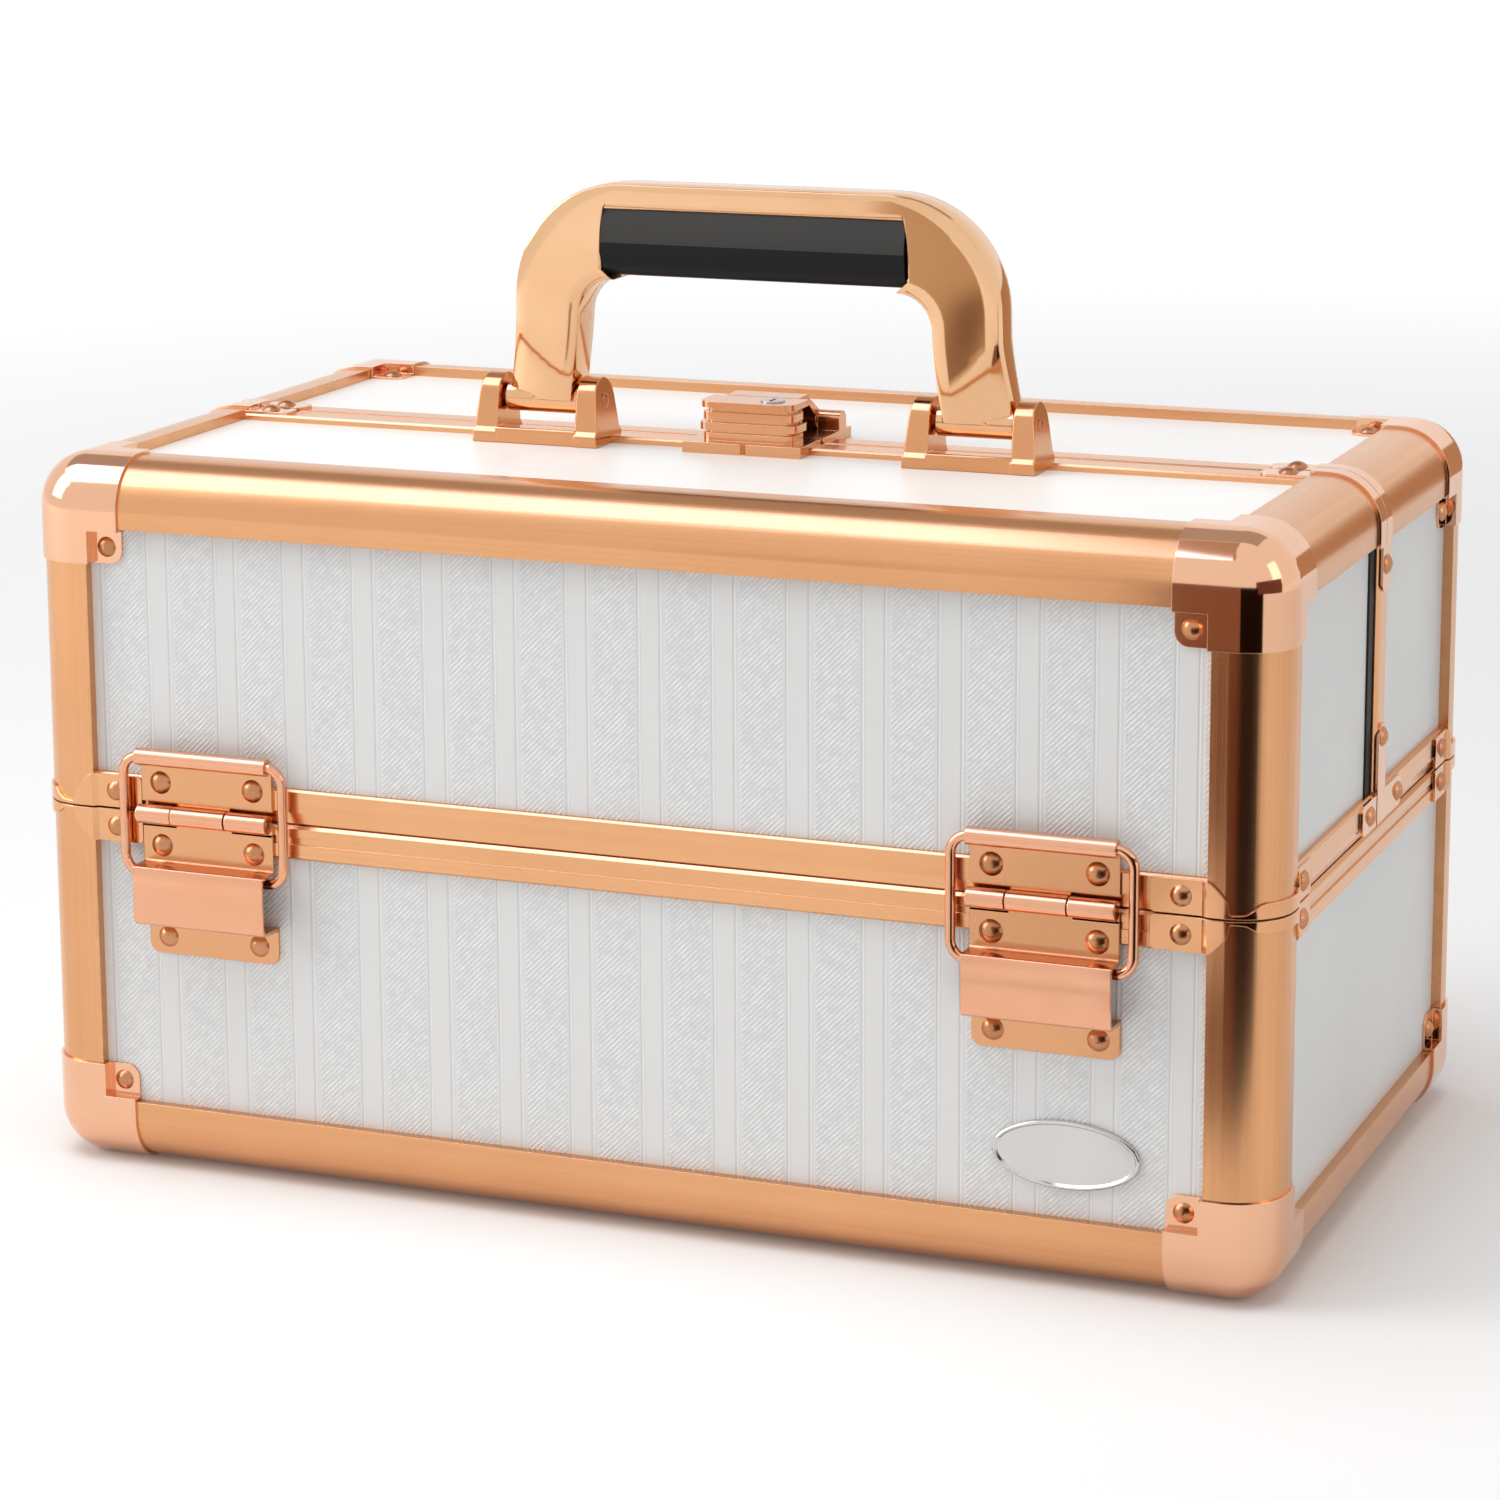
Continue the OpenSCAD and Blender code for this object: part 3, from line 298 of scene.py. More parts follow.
@dataclass(frozen=True)
class Metal:
    """A plated or anodised metal finish.

    Tone and shade are its light and dark patches, and edge the radius of its softened edges in millimetres. Those edges
    take a painted colour, a painted highlight unless a darker edge tone is given, and an optional tone paints shade on
    what lies nearer the case's middle than its limit, in metres.
    """

    name: str
    tone: Tone
    shade: Tone
    roughness: float
    spread: float = 0.05
    lay: Lay = Lay.NONE
    streak: float = 1.6
    bump: float = 0.0
    edge: float = 0.25
    painted_edge_tone: Tone | None = None
    painted_edge_share: float = 0.5
    mottle: float = 22.0
    recess_shade_tone: Tone | None = None
    recess_shade_limit: float = 0.1066

    def build(self, fx: Effects) -> bpy.types.Material:
        """Makes the material.

        Args:
            fx: The shared effects.

        Returns:
            The material.
        """
        material, n, shader = new_material(self.name)
        shader.inputs["Metallic"].default_value = 1.0
        marks = n.group(fx.mottle, Scale=self.mottle)
        edges = n.group(fx.soft_edges, Radius=self.edge * MM)
        mask = marks.outputs["Mask"]
        normal = edges.outputs["Normal"]
        if self.lay is Lay.ALONG_RAIL:
            pulled = n.group(fx.rail_lay)
            grain = n.group(fx.grain, Vector=pulled.outputs[0], Scale=1.0, Contrast=self.streak)
            mask = n.math("ADD", n.math("MULTIPLY", grain.outputs["Streak"], 0.8), n.math("MULTIPLY", mask, 0.2))
            bump = n.add("Bump", {"Height": grain.outputs["Height"], "Strength": self.bump, "Distance": RELIEF,
                                  "Normal": normal})
            normal = bump.outputs[0]
        colour = n.blend(mask, linear(*self.shade), linear(*self.tone))
        # Painted shade: what lies nearer the case's middle than the limit, the set-back parts, takes the darker tone.
        if self.recess_shade_tone:
            depth = n.add("SeparateXYZ", {0: n.place()}).outputs[1]
            inner = n.math("LESS_THAN", n.math("ABSOLUTE", depth), self.recess_shade_limit)
            colour = n.blend(inner, colour, linear(*self.recess_shade_tone))
        # Painted colour along the softened edges: a painted highlight by default, a painted dark outline where a darker
        # edge tone is given.
        rim = self.painted_edge_tone or tuple(min(c * 1.12 + 6, 255) for c in self.tone)
        colour = n.blend(n.math("MULTIPLY", edges.outputs["Edge"], self.painted_edge_share), colour, linear(*rim))
        n.feed(shader.inputs["Base Color"], colour)
        n.feed(shader.inputs["Roughness"], n.span(mask, 0.0, 1.0, self.roughness + self.spread, self.roughness))
        n.feed(shader.inputs["Normal"], normal)
        return material


@dataclass(frozen=True)
class Skin:
    """A plastic, rubber or laminate finish with a fine texture.

    Pebble is the texture's scale, depth its strength, and edge the radius of softened edges in millimetres.
    """

    name: str
    tone: Tone
    shade: Tone
    roughness: float
    pebble: float = 900.0
    depth: float = 0.15
    edge: float = 0.3
    gloss: float = 0.5
    spread: float = 0.06

    def build(self, fx: Effects) -> bpy.types.Material:
        """Makes the material.

        Args:
            fx: The shared effects.

        Returns:
            The material.
        """
        material, n, shader = new_material(self.name)
        shader.inputs["Specular IOR Level"].default_value = self.gloss
        marks = n.group(fx.mottle, Scale=14.0)
        edges = n.group(fx.soft_edges, Radius=self.edge * MM)
        cells = n.add("TexVoronoi", {"Vector": n.place(), "Scale": self.pebble})
        bump = n.add("Bump", {"Height": cells.outputs[0], "Strength": self.depth, "Distance": RELIEF,
                              "Normal": edges.outputs["Normal"]})
        colour = n.blend(marks.outputs["Mask"], linear(*self.shade), linear(*self.tone))
        n.feed(shader.inputs["Base Color"], colour)
        n.feed(shader.inputs["Roughness"],
               n.span(marks.outputs["Mask"], 0.0, 1.0, self.roughness + self.spread, self.roughness))
        n.feed(shader.inputs["Normal"], bump.outputs[0])
        return material


@dataclass(frozen=True)
class StripedLaminate:
    """Pale laminate embossed with upright stripes of slanting hatch between plain ribs.

    A period holds one stripe of hatch, hatch wide, and then a rib between two pressed folds. Painted light stands in
    for the relief: painted shade in the hatch's valleys and a painted highlight on its lines, and on each fold a
    painted shade on the flank before its middle and a painted highlight on the flank after it.
    """

    name: str
    tone: Tone = (233, 233, 232)
    shade: Tone = (230, 230, 229)
    hatch_valley_shade: Tone = (218, 219, 219)
    hatch_ridge_highlight: Tone = (243, 243, 242)
    fleck: Tone = (250, 250, 249)
    fold_painted_shade: Tone = (178, 179, 181)
    fold_painted_highlight: Tone = (250, 250, 250)
    period: float = 21.3
    hatch: float = 12.7
    phase: float = 11.6
    pitch: float = 1.1
    border: float = 0.3
    fold_half: float = 0.36
    shade_flank_shift: float = 0.3
    highlight_flank_shift: float = -0.35
    roughness: float = 0.38

    def build(self, fx: Effects) -> bpy.types.Material:
        """Makes the material.

        Args:
            fx: The shared effects.

        Returns:
            The material.
        """
        material, n, shader = new_material(self.name)
        where = n.add("SeparateXYZ", {0: n.place()})
        x, z = (n.math("MULTIPLY", where.outputs[i], 1000.0) for i in (0, 2))
        across = n.math("FLOORED_MODULO", n.math("SUBTRACT", x, self.phase), self.period)
        in_hatch = n.math("MULTIPLY", n.span(across, 0.0, self.border, 0.0, 1.0),
                          n.span(across, self.hatch - self.border, self.hatch, 1.0, 0.0))
        slant = n.math("DIVIDE", n.math("SUBTRACT", z, x), self.pitch * math.sqrt(2))
        line = n.math("PINGPONG", slant, 0.5)
        rough = n.add("TexNoise", {"Vector": n.place(), "Scale": 420.0, "Detail": 3.0})
        broken = n.span(rough.outputs[0], 0.36, 0.6, 0.35, 1.0)
        hatch = n.math("MULTIPLY", n.math("MULTIPLY", n.span(line, 0.1, 0.38, 0.0, 1.0), broken), in_hatch)
        # low is the flank that gets the painted shade and high the one that gets the painted highlight; together they
        # also give the folds their bump.
        low, high = (self.folds(n, across, shift) for shift in (self.shade_flank_shift, self.highlight_flank_shift))
        height = n.math("ADD", hatch, n.math("SUBTRACT", high, low))
        edges = n.group(fx.soft_edges, Radius=0.0003)
        marks = n.group(fx.mottle, Scale=10.0)
        bump = n.add("Bump", {"Height": height, "Strength": 0.5, "Distance": RELIEF,
                              "Normal": edges.outputs["Normal"]})
        plain = n.blend(marks.outputs["Mask"], linear(*self.shade), linear(*self.tone))
        cloud = n.add("TexNoise", {"Vector": n.place(), "Scale": 900.0, "Detail": 2.0})
        flecks = n.span(cloud.outputs[0], 0.5, 0.66, 0.0, 0.75)
        # Painted shade between the hatch's lines and a painted highlight on them.
        woven = n.blend(hatch, linear(*self.hatch_valley_shade), linear(*self.hatch_ridge_highlight))
        woven = n.blend(n.math("MULTIPLY", flecks, hatch), woven, linear(*self.fleck))
        colour = n.blend(in_hatch, plain, woven)
        # Painted shade on one flank of each fold and a painted highlight on the other.
        colour = n.blend(n.math("MULTIPLY", low, 0.42), colour, linear(*self.fold_painted_shade))
        colour = n.blend(n.math("MULTIPLY", high, 0.45), colour, linear(*self.fold_painted_highlight))
        n.feed(shader.inputs["Base Color"], colour)
        n.feed(shader.inputs["Roughness"], n.span(height, -0.5, 1.0, self.roughness + 0.1, self.roughness))
        n.feed(shader.inputs["Normal"], bump.outputs[0])
        return material

    def folds(self, n: Nodes, across: bpy.types.NodeSocket, shift: float) -> bpy.types.NodeSocket:
        """Mask of one flank of the pressed folds, for the painted shade on one flank and the painted highlight on the
        other.

        Args:
            n: The material's node helper.
            across: Place across the period, in millimetres.
            shift: How far that flank lies before a fold's middle, less than 0 when it lies after it.

        Returns:
            The mask.
        """
        flanks = []
        for centre, half, weight in ((self.hatch + 1.0, self.fold_half, 1.0),
                                     (self.period - 1.2, self.fold_half, 1.0), (self.border / 2, 0.3, 0.6)):
            away = n.math("ABSOLUTE", n.math("ADD", n.math("SUBTRACT", across, centre), shift))
            flanks.append(n.math("MULTIPLY", n.span(away, 0.0, half, 1.0, 0.0), weight))
        return n.math("ADD", n.math("ADD", flanks[0], flanks[1]), flanks[2])


def bare_nodes(owner: bpy.types.Material | bpy.types.World) -> Nodes:
    """Empties the nodes of a material or world.

    Args:
        owner: The material or world.

    Returns:
        Its node helper.
    """
    owner.use_nodes = True
    owner.node_tree.nodes.clear()
    return Nodes(owner.node_tree)


def new_material(name: str) -> tuple[bpy.types.Material, Nodes, bpy.types.Node]:
    """Makes a material with a Principled shader.

    Args:
        name: Name of the material.

    Returns:
        The material, its node helper and the shader node.
    """
    material = bpy.data.materials.new(name)
    n = bare_nodes(material)
    shader = n.add("BsdfPrincipled")
    n.add("OutputMaterial", {"Surface": shader.outputs[0]})
    return material, n, shader


Finish = Metal | Skin | StripedLaminate

FINISHES: dict[str, Finish] = {
    "panel": Skin("White laminate", (234, 234, 233), (229, 229, 228), 0.32, pebble=700.0, depth=0.08),
    "front_panel": StripedLaminate("Striped white laminate"),
    "rail": Metal("Satin copper rail", (238, 180, 132), (208, 148, 102), 0.2, lay=Lay.ALONG_RAIL, bump=0.2),
    "belt": Metal("Copper belt", (242, 184, 136), (218, 158, 112), 0.19, lay=Lay.ALONG_RAIL, bump=0.18),
    "cap": Metal("Polished copper cap", (240, 190, 156), (235, 182, 148), 0.07, spread=0.02),
    # Its recess tone is painted shade on the parts set back from the case's front and rear faces, in place of the shade
    # and darker reflections there.
    "hinge": Metal("Pink copper plate", (238, 180, 146), (230, 168, 132), 0.17, spread=0.04,
                   recess_shade_tone=(222, 164, 120)),
    "belt_plate": Metal("Belt corner plate", (236, 178, 132), (226, 166, 120), 0.09, spread=0.03),
    "bracket": Metal("Copper bracket", (226, 166, 120), (214, 152, 106), 0.13, spread=0.03, edge=0.3),
    "wire": Metal("Copper wire", (240, 182, 148), (228, 166, 130), 0.12),
    "rivet": Metal("Rivet copper", (208, 150, 110), (184, 126, 88), 0.24, edge=0.15),
    # The handle's edge tone is a painted dark outline, standing in for the shade and dark reflections along its edges.
    "handle": Metal("Mirror copper", (236, 192, 150), (228, 178, 134), 0.06, spread=0.02, edge=0.45,
                    painted_edge_tone=(158, 96, 56), painted_edge_share=0.75),
    # The grip's underside finish is the grip painted darker below the crease: painted shade.
    "grip": Skin("Charcoal grip top", (62, 61, 59), (54, 53, 52), 0.4, pebble=1600.0, depth=0.05, gloss=0.25),
    "grip_low": Skin("Grip underside with painted shade", (20, 20, 20), (15, 15, 15), 0.34, pebble=1600.0, depth=0.05, gloss=0.2),
    "steel": Metal("Zinc steel", (200, 200, 204), (178, 178, 182), 0.26),
    "badge": Metal("Blank badge plate", (214, 213, 211), (204, 203, 200), 0.12, spread=0.02),
    "seal": Skin("Black seal", (30, 20, 13), (18, 12, 8), 0.55),
    "lining": Skin("Black lining", (34, 34, 36), (24, 24, 26), 0.75, pebble=1200.0, depth=0.4),
    "tray": Skin("Black tray", (30, 30, 32), (22, 22, 24), 0.5, pebble=1400.0, depth=0.2),
}


class Palette:
    """Builds each finish once and hands it out by its name."""

    def __init__(self, fx: Effects) -> None:
        """Keeps the shared effects."""
        self.fx = fx
        self._made: dict[str, bpy.types.Material] = {}

    def get(self, finish: str) -> bpy.types.Material:
        """The material of a finish: a slot of the record, or one of scene.py's own finishes.

        Args:
            finish: Its name in FINISHES.

        Returns:
            The material.
        """
        if finish not in self._made:
            self._made[finish] = FINISHES[finish].build(self.fx)
        return self._made[finish]


class Shape:
    """One mesh in the making, in millimetres of the case's frame."""

    def __init__(self) -> None:
        """Starts an empty mesh."""
        self.bm = bmesh.new()

    def loft(self, rows: Sequence[Sequence[Point]]) -> list[bmesh.types.BMVert]:
        """Skins closed cross-sections and closes the two ends.

        Args:
            rows: Cross-sections of the same number of points, in order.

        Returns:
            The new corners, section by section.
        """
        rings = [[self.bm.verts.new(point) for point in row] for row in rows]
        count = len(rings[0])
        for one, two in zip(rings, rings[1:]):
            for i in range(count):
                j = (i + 1) % count
                self.bm.faces.new((one[i], one[j], two[j], two[i]))
        self.bm.faces.new(rings[0])
        self.bm.faces.new(reversed(rings[-1]))
        return [vert for ring in rings for vert in ring]

    def prism(self, outline: Outline, axis: int, low: float, high: float) -> list[bmesh.types.BMVert]:
        """Pulls an outline along an axis.

        Args:
            outline: Points in the plane of the two other axes, in their order.
            axis: 0, 1 or 2 for X, Y or Z.
            low, high: The two ends along the axis.

        Returns:
            The new corners, those of the low end first.
        """
        return self.loft([[(*spot[:axis], value, *spot[axis:]) for spot in outline] for value in (low, high)])

    def lathe(self, profile: Outline, centre: Point, steps: int = 32) -> None:
        """Turns a profile round an axis that runs along X.

        Args:
            profile: Distance along the axis from the centre, and radius.
            centre: Where the axis passes.
            steps: Faces round the turn.
        """
        x, y, z = centre
        turns = [math.tau * k / steps for k in range(steps)]
        self.loft([[(x + along, y + radius * math.cos(a), z + radius * math.sin(a)) for a in turns]
                   for along, radius in profile])

    def borrow(self, mesh: bpy.types.Mesh, wanted: Callable[[Vector, Vector], bool]) -> None:
        """Copies the loose pieces of a CAD mesh that pass a test.

        Args:
            mesh: The CAD mesh, which stays as it is.
            wanted: Test of a piece's lowest and highest corner, in millimetres.
        """
        source = bmesh.new()
        source.from_mesh(mesh)
        source.verts.index_update()
        source.faces.index_update()
        seen: set[int] = set()
        for first in source.verts:
            if first.index in seen:
                continue
            seen.add(first.index)
            patch = [first]
            for vert in patch:  # the list grows until the whole loose piece is in it
                for other in (edge.other_vert(vert) for edge in vert.link_edges):
                    if other.index not in seen:
                        seen.add(other.index)
                        patch.append(other)
            low = Vector(min(v.co[i] for v in patch) / MM for i in range(3))
            high = Vector(max(v.co[i] for v in patch) / MM for i in range(3))
            if wanted(low, high):
                twin = {v.index: self.bm.verts.new(v.co / MM) for v in patch}
                for face in sorted({f for v in patch for f in v.link_faces}, key=lambda face: face.index):
                    self.bm.faces.new([twin[v.index] for v in face.verts])
        source.free()

    def make(self, name: str, body: str, material: bpy.types.Material, nodes: Sequence[str] = (),
             bevel: float = 0.0, angle: float = 30.0) -> bpy.types.Object:
        """Finishes the mesh as a piece of the case.

        Args:
            name: Name of the piece.
            body: Body that it rides on.
            material: Its finish.
            nodes: CAD nodes that it stands for.
            bevel: Width of the rounded edges, in millimetres.
            angle: Edges sharper than this stay crisp, in degrees.

        Returns:
            The new object.
        """
        bmesh.ops.remove_doubles(self.bm, verts=self.bm.verts[:], dist=0.001)
        bmesh.ops.recalc_face_normals(self.bm, faces=self.bm.faces[:])
        bmesh.ops.scale(self.bm, vec=(MM, MM, MM), verts=self.bm.verts[:])
        mesh = bpy.data.meshes.new(name)
        self.bm.to_mesh(mesh)
        self.bm.free()
        for face in mesh.polygons:
            face.use_smooth = True
        mesh.set_sharp_from_angle(angle=math.radians(angle))
        mesh.materials.append(material)
        piece = bpy.data.objects.new(name, mesh)
        bpy.context.scene.collection.objects.link(piece)
        if bevel:
            rounding = piece.modifiers.new("Rounded edges", "BEVEL")
            rounding.width, rounding.segments = bevel * MM, 3
            rounding.limit_method, rounding.angle_limit = "ANGLE", math.radians(35)
            rounding.harden_normals = True
        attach(piece, body)
        if nodes:
            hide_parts(*nodes)
        log.info("%s: %d faces on %s", name, len(mesh.polygons), body)
        return piece


def arc(centre: Spot, radius: float, start: float, stop: float, steps: int) -> Outline:
    """Points on an arc.

    Args:
        centre, radius: Of the arc.
        start, stop: Angles in degrees from the first axis towards the second.
        steps: Chords between the two ends.

    Returns:
        The points, one more than the steps.
    """
    turns = [math.radians(start + (stop - start) * k / steps) for k in range(steps + 1)]
    return [(centre[0] + radius * math.cos(a), centre[1] + radius * math.sin(a)) for a in turns]


@dataclass
class CarryHandle:
    """The folding handle: frame, grip, clevis brackets and pins.

    The frame's middle in X differs a little from that of its feet and brackets. Its depth is the place of
    its middle plane in Y, half is half its width, arm and strap are its widths seen from the front, and
    thick is its size front to back. The arms flare outwards and slant backwards towards the pins.
    """

    palette: Palette
    middle: float = 3.6
    foot_middle: float = 3.0
    depth: float = -11.0
    pin_z: float = 214.7
    top: float = 278.1
    half: float = 73.2
    thick: float = 13.0
    arm: float = 20.0
    strap: float = 7.5
    outer_r: float = 33.0
    inner_r: float = 10.5
    edge_r: float = 1.5
    straight_gap: float = 5.2
    flare: float = 4.0
    flare_curve: float = 1.3
    flare_inside: float = 0.75
    slant: float = 0.17
    slant_low: float = 6.0
    slant_rise: float = 17.0
    slant_curve: float = 1.5
    grip_half: float = 45.9
    grip_low: float = 251.7
    grip_sink: float = 1.2
    crease: float = 261.4
    barrel_r: float = 4.3
    bracket_x: float = 65.8
    bracket_half: float = 19.6
    bracket_deep: float = 19.0
    bracket_high: float = 19.5
    ear_gap: float = 12.2
    ear_lean: float = 1.9
    toe: float = 3.0
    toe_bevel: float = 1.4
    web: float = 4.6
    web_deep: float = 7.0
    floor: float = 1.4
    pin_inset: float = 1.3
    panel_z: float = 202.2

    def build(self) -> None:
        """Builds every piece of the handle."""
        self.frame()
        self.grip()
        self.brackets()
        self.pins()

    def stations(self) -> list[tuple[Spot, Spot]]:
        """Walks the frame from the right foot to the middle of its top.

        Returns:
            Outer and inner points (x, z), measured from its middle.
        """
        rows = []
        inner_x, bend = self.half - self.arm, self.top - self.outer_r
        window, under = self.grip_low - self.grip_sink, self.top - self.strap
        steps, turn_steps = 12, 8
        for k in range(steps):
            z = self.pin_z + (bend - self.straight_gap - self.pin_z) * k / steps
            lean = self.flare * (1 - k / steps) ** self.flare_curve
            rows.append(((self.half + lean, z), (inner_x + lean * self.flare_inside, z)))
        outside = arc((self.half - self.outer_r, bend), self.outer_r, 0, 90, 2 * turn_steps)
        inside = arc((inner_x - self.inner_r, window - self.inner_r), self.inner_r, 0, 90, turn_steps)
        inside += [(self.grip_half, window + (under - window) * k / turn_steps) for k in range(1, turn_steps + 1)]
        rows += list(zip(outside, inside))
        rows += [((x, self.top), (x, under)) for x in (30.0, 15.0, 0.0)]
        return rows

    def section(self, outer: Spot, inner: Spot) -> list[Point]:
        """One rounded cross-section between an outer and an inner point.

        Args:
            outer, inner: Points (x, z) of the frame's outline, measured from its middle.

        Returns:
            The section's corners in the case's frame.
        """
        width = math.dist(outer, inner)
        r = min(self.edge_r, width / 3)
        front, back = -self.thick / 2, self.thick / 2
        c = 0.29 * r  # how far the middle of a rounded corner lies from the sharp one, in X and in Y
        spots = [(0, front + r), (c, front + c), (r, front)]
        spots += [(r + (width - 2 * r) * k / 6, front) for k in range(1, 6)]
        spots += [(width - r, front), (width - c, front + c), (width, front + r),
                  (width, back - r), (width - c, back - c), (width - r, back),
                  (r, back), (c, back - c), (0, back - r)]
        points = []
        for s, y in spots:
            u = s / width
            x, z = (inner[i] + (outer[i] - inner[i]) * u for i in (0, 1))
            if y < 0 and abs(x) > self.half - self.arm:
                crest = self.pin_z + self.slant_low + self.slant_rise * max(u, 0.0) ** self.slant_curve
                y += self.slant * max(0.0, crest - z)
            points.append((x + self.middle, y + self.depth, z))
        return points

    def frame(self) -> None:
        """The one-piece frame with its slanted lower arms and its barrels on the pins."""
        right = self.stations()
        left = [((-o[0], o[1]), (-i[0], i[1])) for o, i in reversed(right[:-1])]
        shape = Shape()
        shape.loft([self.section(o, i) for o, i in right + left])
        for side in (-1, 1):
            centre = (self.foot_middle + side * self.bracket_x, self.depth, self.pin_z)
            reach, r = self.ear_gap - 0.5, self.barrel_r
            shape.lathe([(-reach, r - 0.5), (-reach + 0.5, r), (reach - 0.5, r), (reach, r - 0.5)], centre)
        shape.make("handle_frame_body", "handle", self.palette.get("handle"), ["handle_frame"], angle=28)

    def grip_section(self, x: float) -> list[Point]:
        """One cross-section of the grip, with its crease along the front and back.

        Args:
            x: Place along the grip.

        Returns:
            The section's corners.
        """
        top, low = self.top - self.strap + 0.3, self.grip_low
        half = [(5.6, top), (6.0, top - 1), (6.8, top - 4.5), (7.5, top - 8.2), (7.5, self.crease), (7.1, top - 13),
                (6.5, low + 3.2), (5.6, low + 1.5), (4.2, low + 0.4), (2.4, low)]
        ring = [(-y, z) for y, z in half] + list(reversed(half))
        return [(x, self.depth + y, z) for y, z in ring]

    def grip(self) -> None:
        """The moulded grip under the strap."""
        shape = Shape()
        end = self.grip_half - 0.2
        shape.loft([self.grip_section(x + self.middle)
                    for x in (-end, -self.grip_half / 2, 0.0, self.grip_half / 2, end)])
        piece = shape.make("handle_grip_moulding", "handle", self.palette.get("grip"), ["handle_grip"],
                           angle=24)
        # Faces below the crease take the darker finish, painted shade on the grip's underside.
        piece.data.materials.append(self.palette.get("grip_low"))
        for face in piece.data.polygons:
            face.material_index = int(face.center.z < (self.crease - 0.1) * MM)

    def brackets(self) -> None:
        """The two clevis brackets: leaning ears with rounded tops, and a low web at the front."""
        base = self.panel_z
        front, back = self.depth - self.bracket_deep / 2, self.depth + self.bracket_deep / 2
        toe, shoulder, web, floor = (base + h for h in (self.toe, self.toe + self.toe_bevel, self.web, self.floor))
        crown = arc((self.depth, self.pin_z), self.bracket_high - (self.pin_z - base), 10, 170, 10)
        ear_outline = ([(front, base), (back, base), (back, toe), (back - 1.2, shoulder)] + crown
                       + [(front + 1.2, shoulder), (front, toe)])
        face, rear = front + 0.4, front + self.web_deep
        web_outline = [(face, base), (rear, base), (rear, web - 0.8), (rear - 1.0, web), (face + 0.5, web),
                       (face, web - 0.6)]
        floor_outline = [(rear - 0.5, base), (back - 0.4, base), (back - 0.4, floor), (rear - 0.5, floor)]
        reach = self.ear_gap + 0.5
        for name, side in (("left", -1), ("right", 1)):
            shape = Shape()
            x = self.foot_middle + side * self.bracket_x
            for ear in (-1, 1):
                ends = sorted(x + ear * place for place in (self.ear_gap, self.bracket_half))
                for vert in shape.prism(ear_outline, 0, *ends):
                    if abs(vert.co.x - x) > self.ear_gap + 1:
                        vert.co.x -= ear * self.ear_lean * (vert.co.z - base) / self.bracket_high
            for outline in (web_outline, floor_outline):
                shape.prism(outline, 0, x - reach, x + reach)
            shape.make(f"handle_bracket_{name}", "front_lid", self.palette.get("bracket"),
                       ["handle_brackets"], bevel=0.7)

    def pins(self) -> None:
        """The pins through the ears, with a raised ring round each dished end."""
        shape = Shape()
        reach = self.bracket_half - self.pin_inset
        rim = [(reach + along, r) for along, r in ((-0.2, 2.3), (0.2, 2.3), (0.3, 2.1), (0.3, 1.7), (-0.4, 1.5),
                                                   (-0.4, 0.2))]
        for side in (-1, 1):
            x = self.foot_middle + side * self.bracket_x
            shape.lathe([(-a, r) for a, r in reversed(rim)] + rim, (x, self.depth, self.pin_z))
        shape.make("handle_pin_pair", "front_lid", self.palette.get("rivet"), ["handle_pins"])


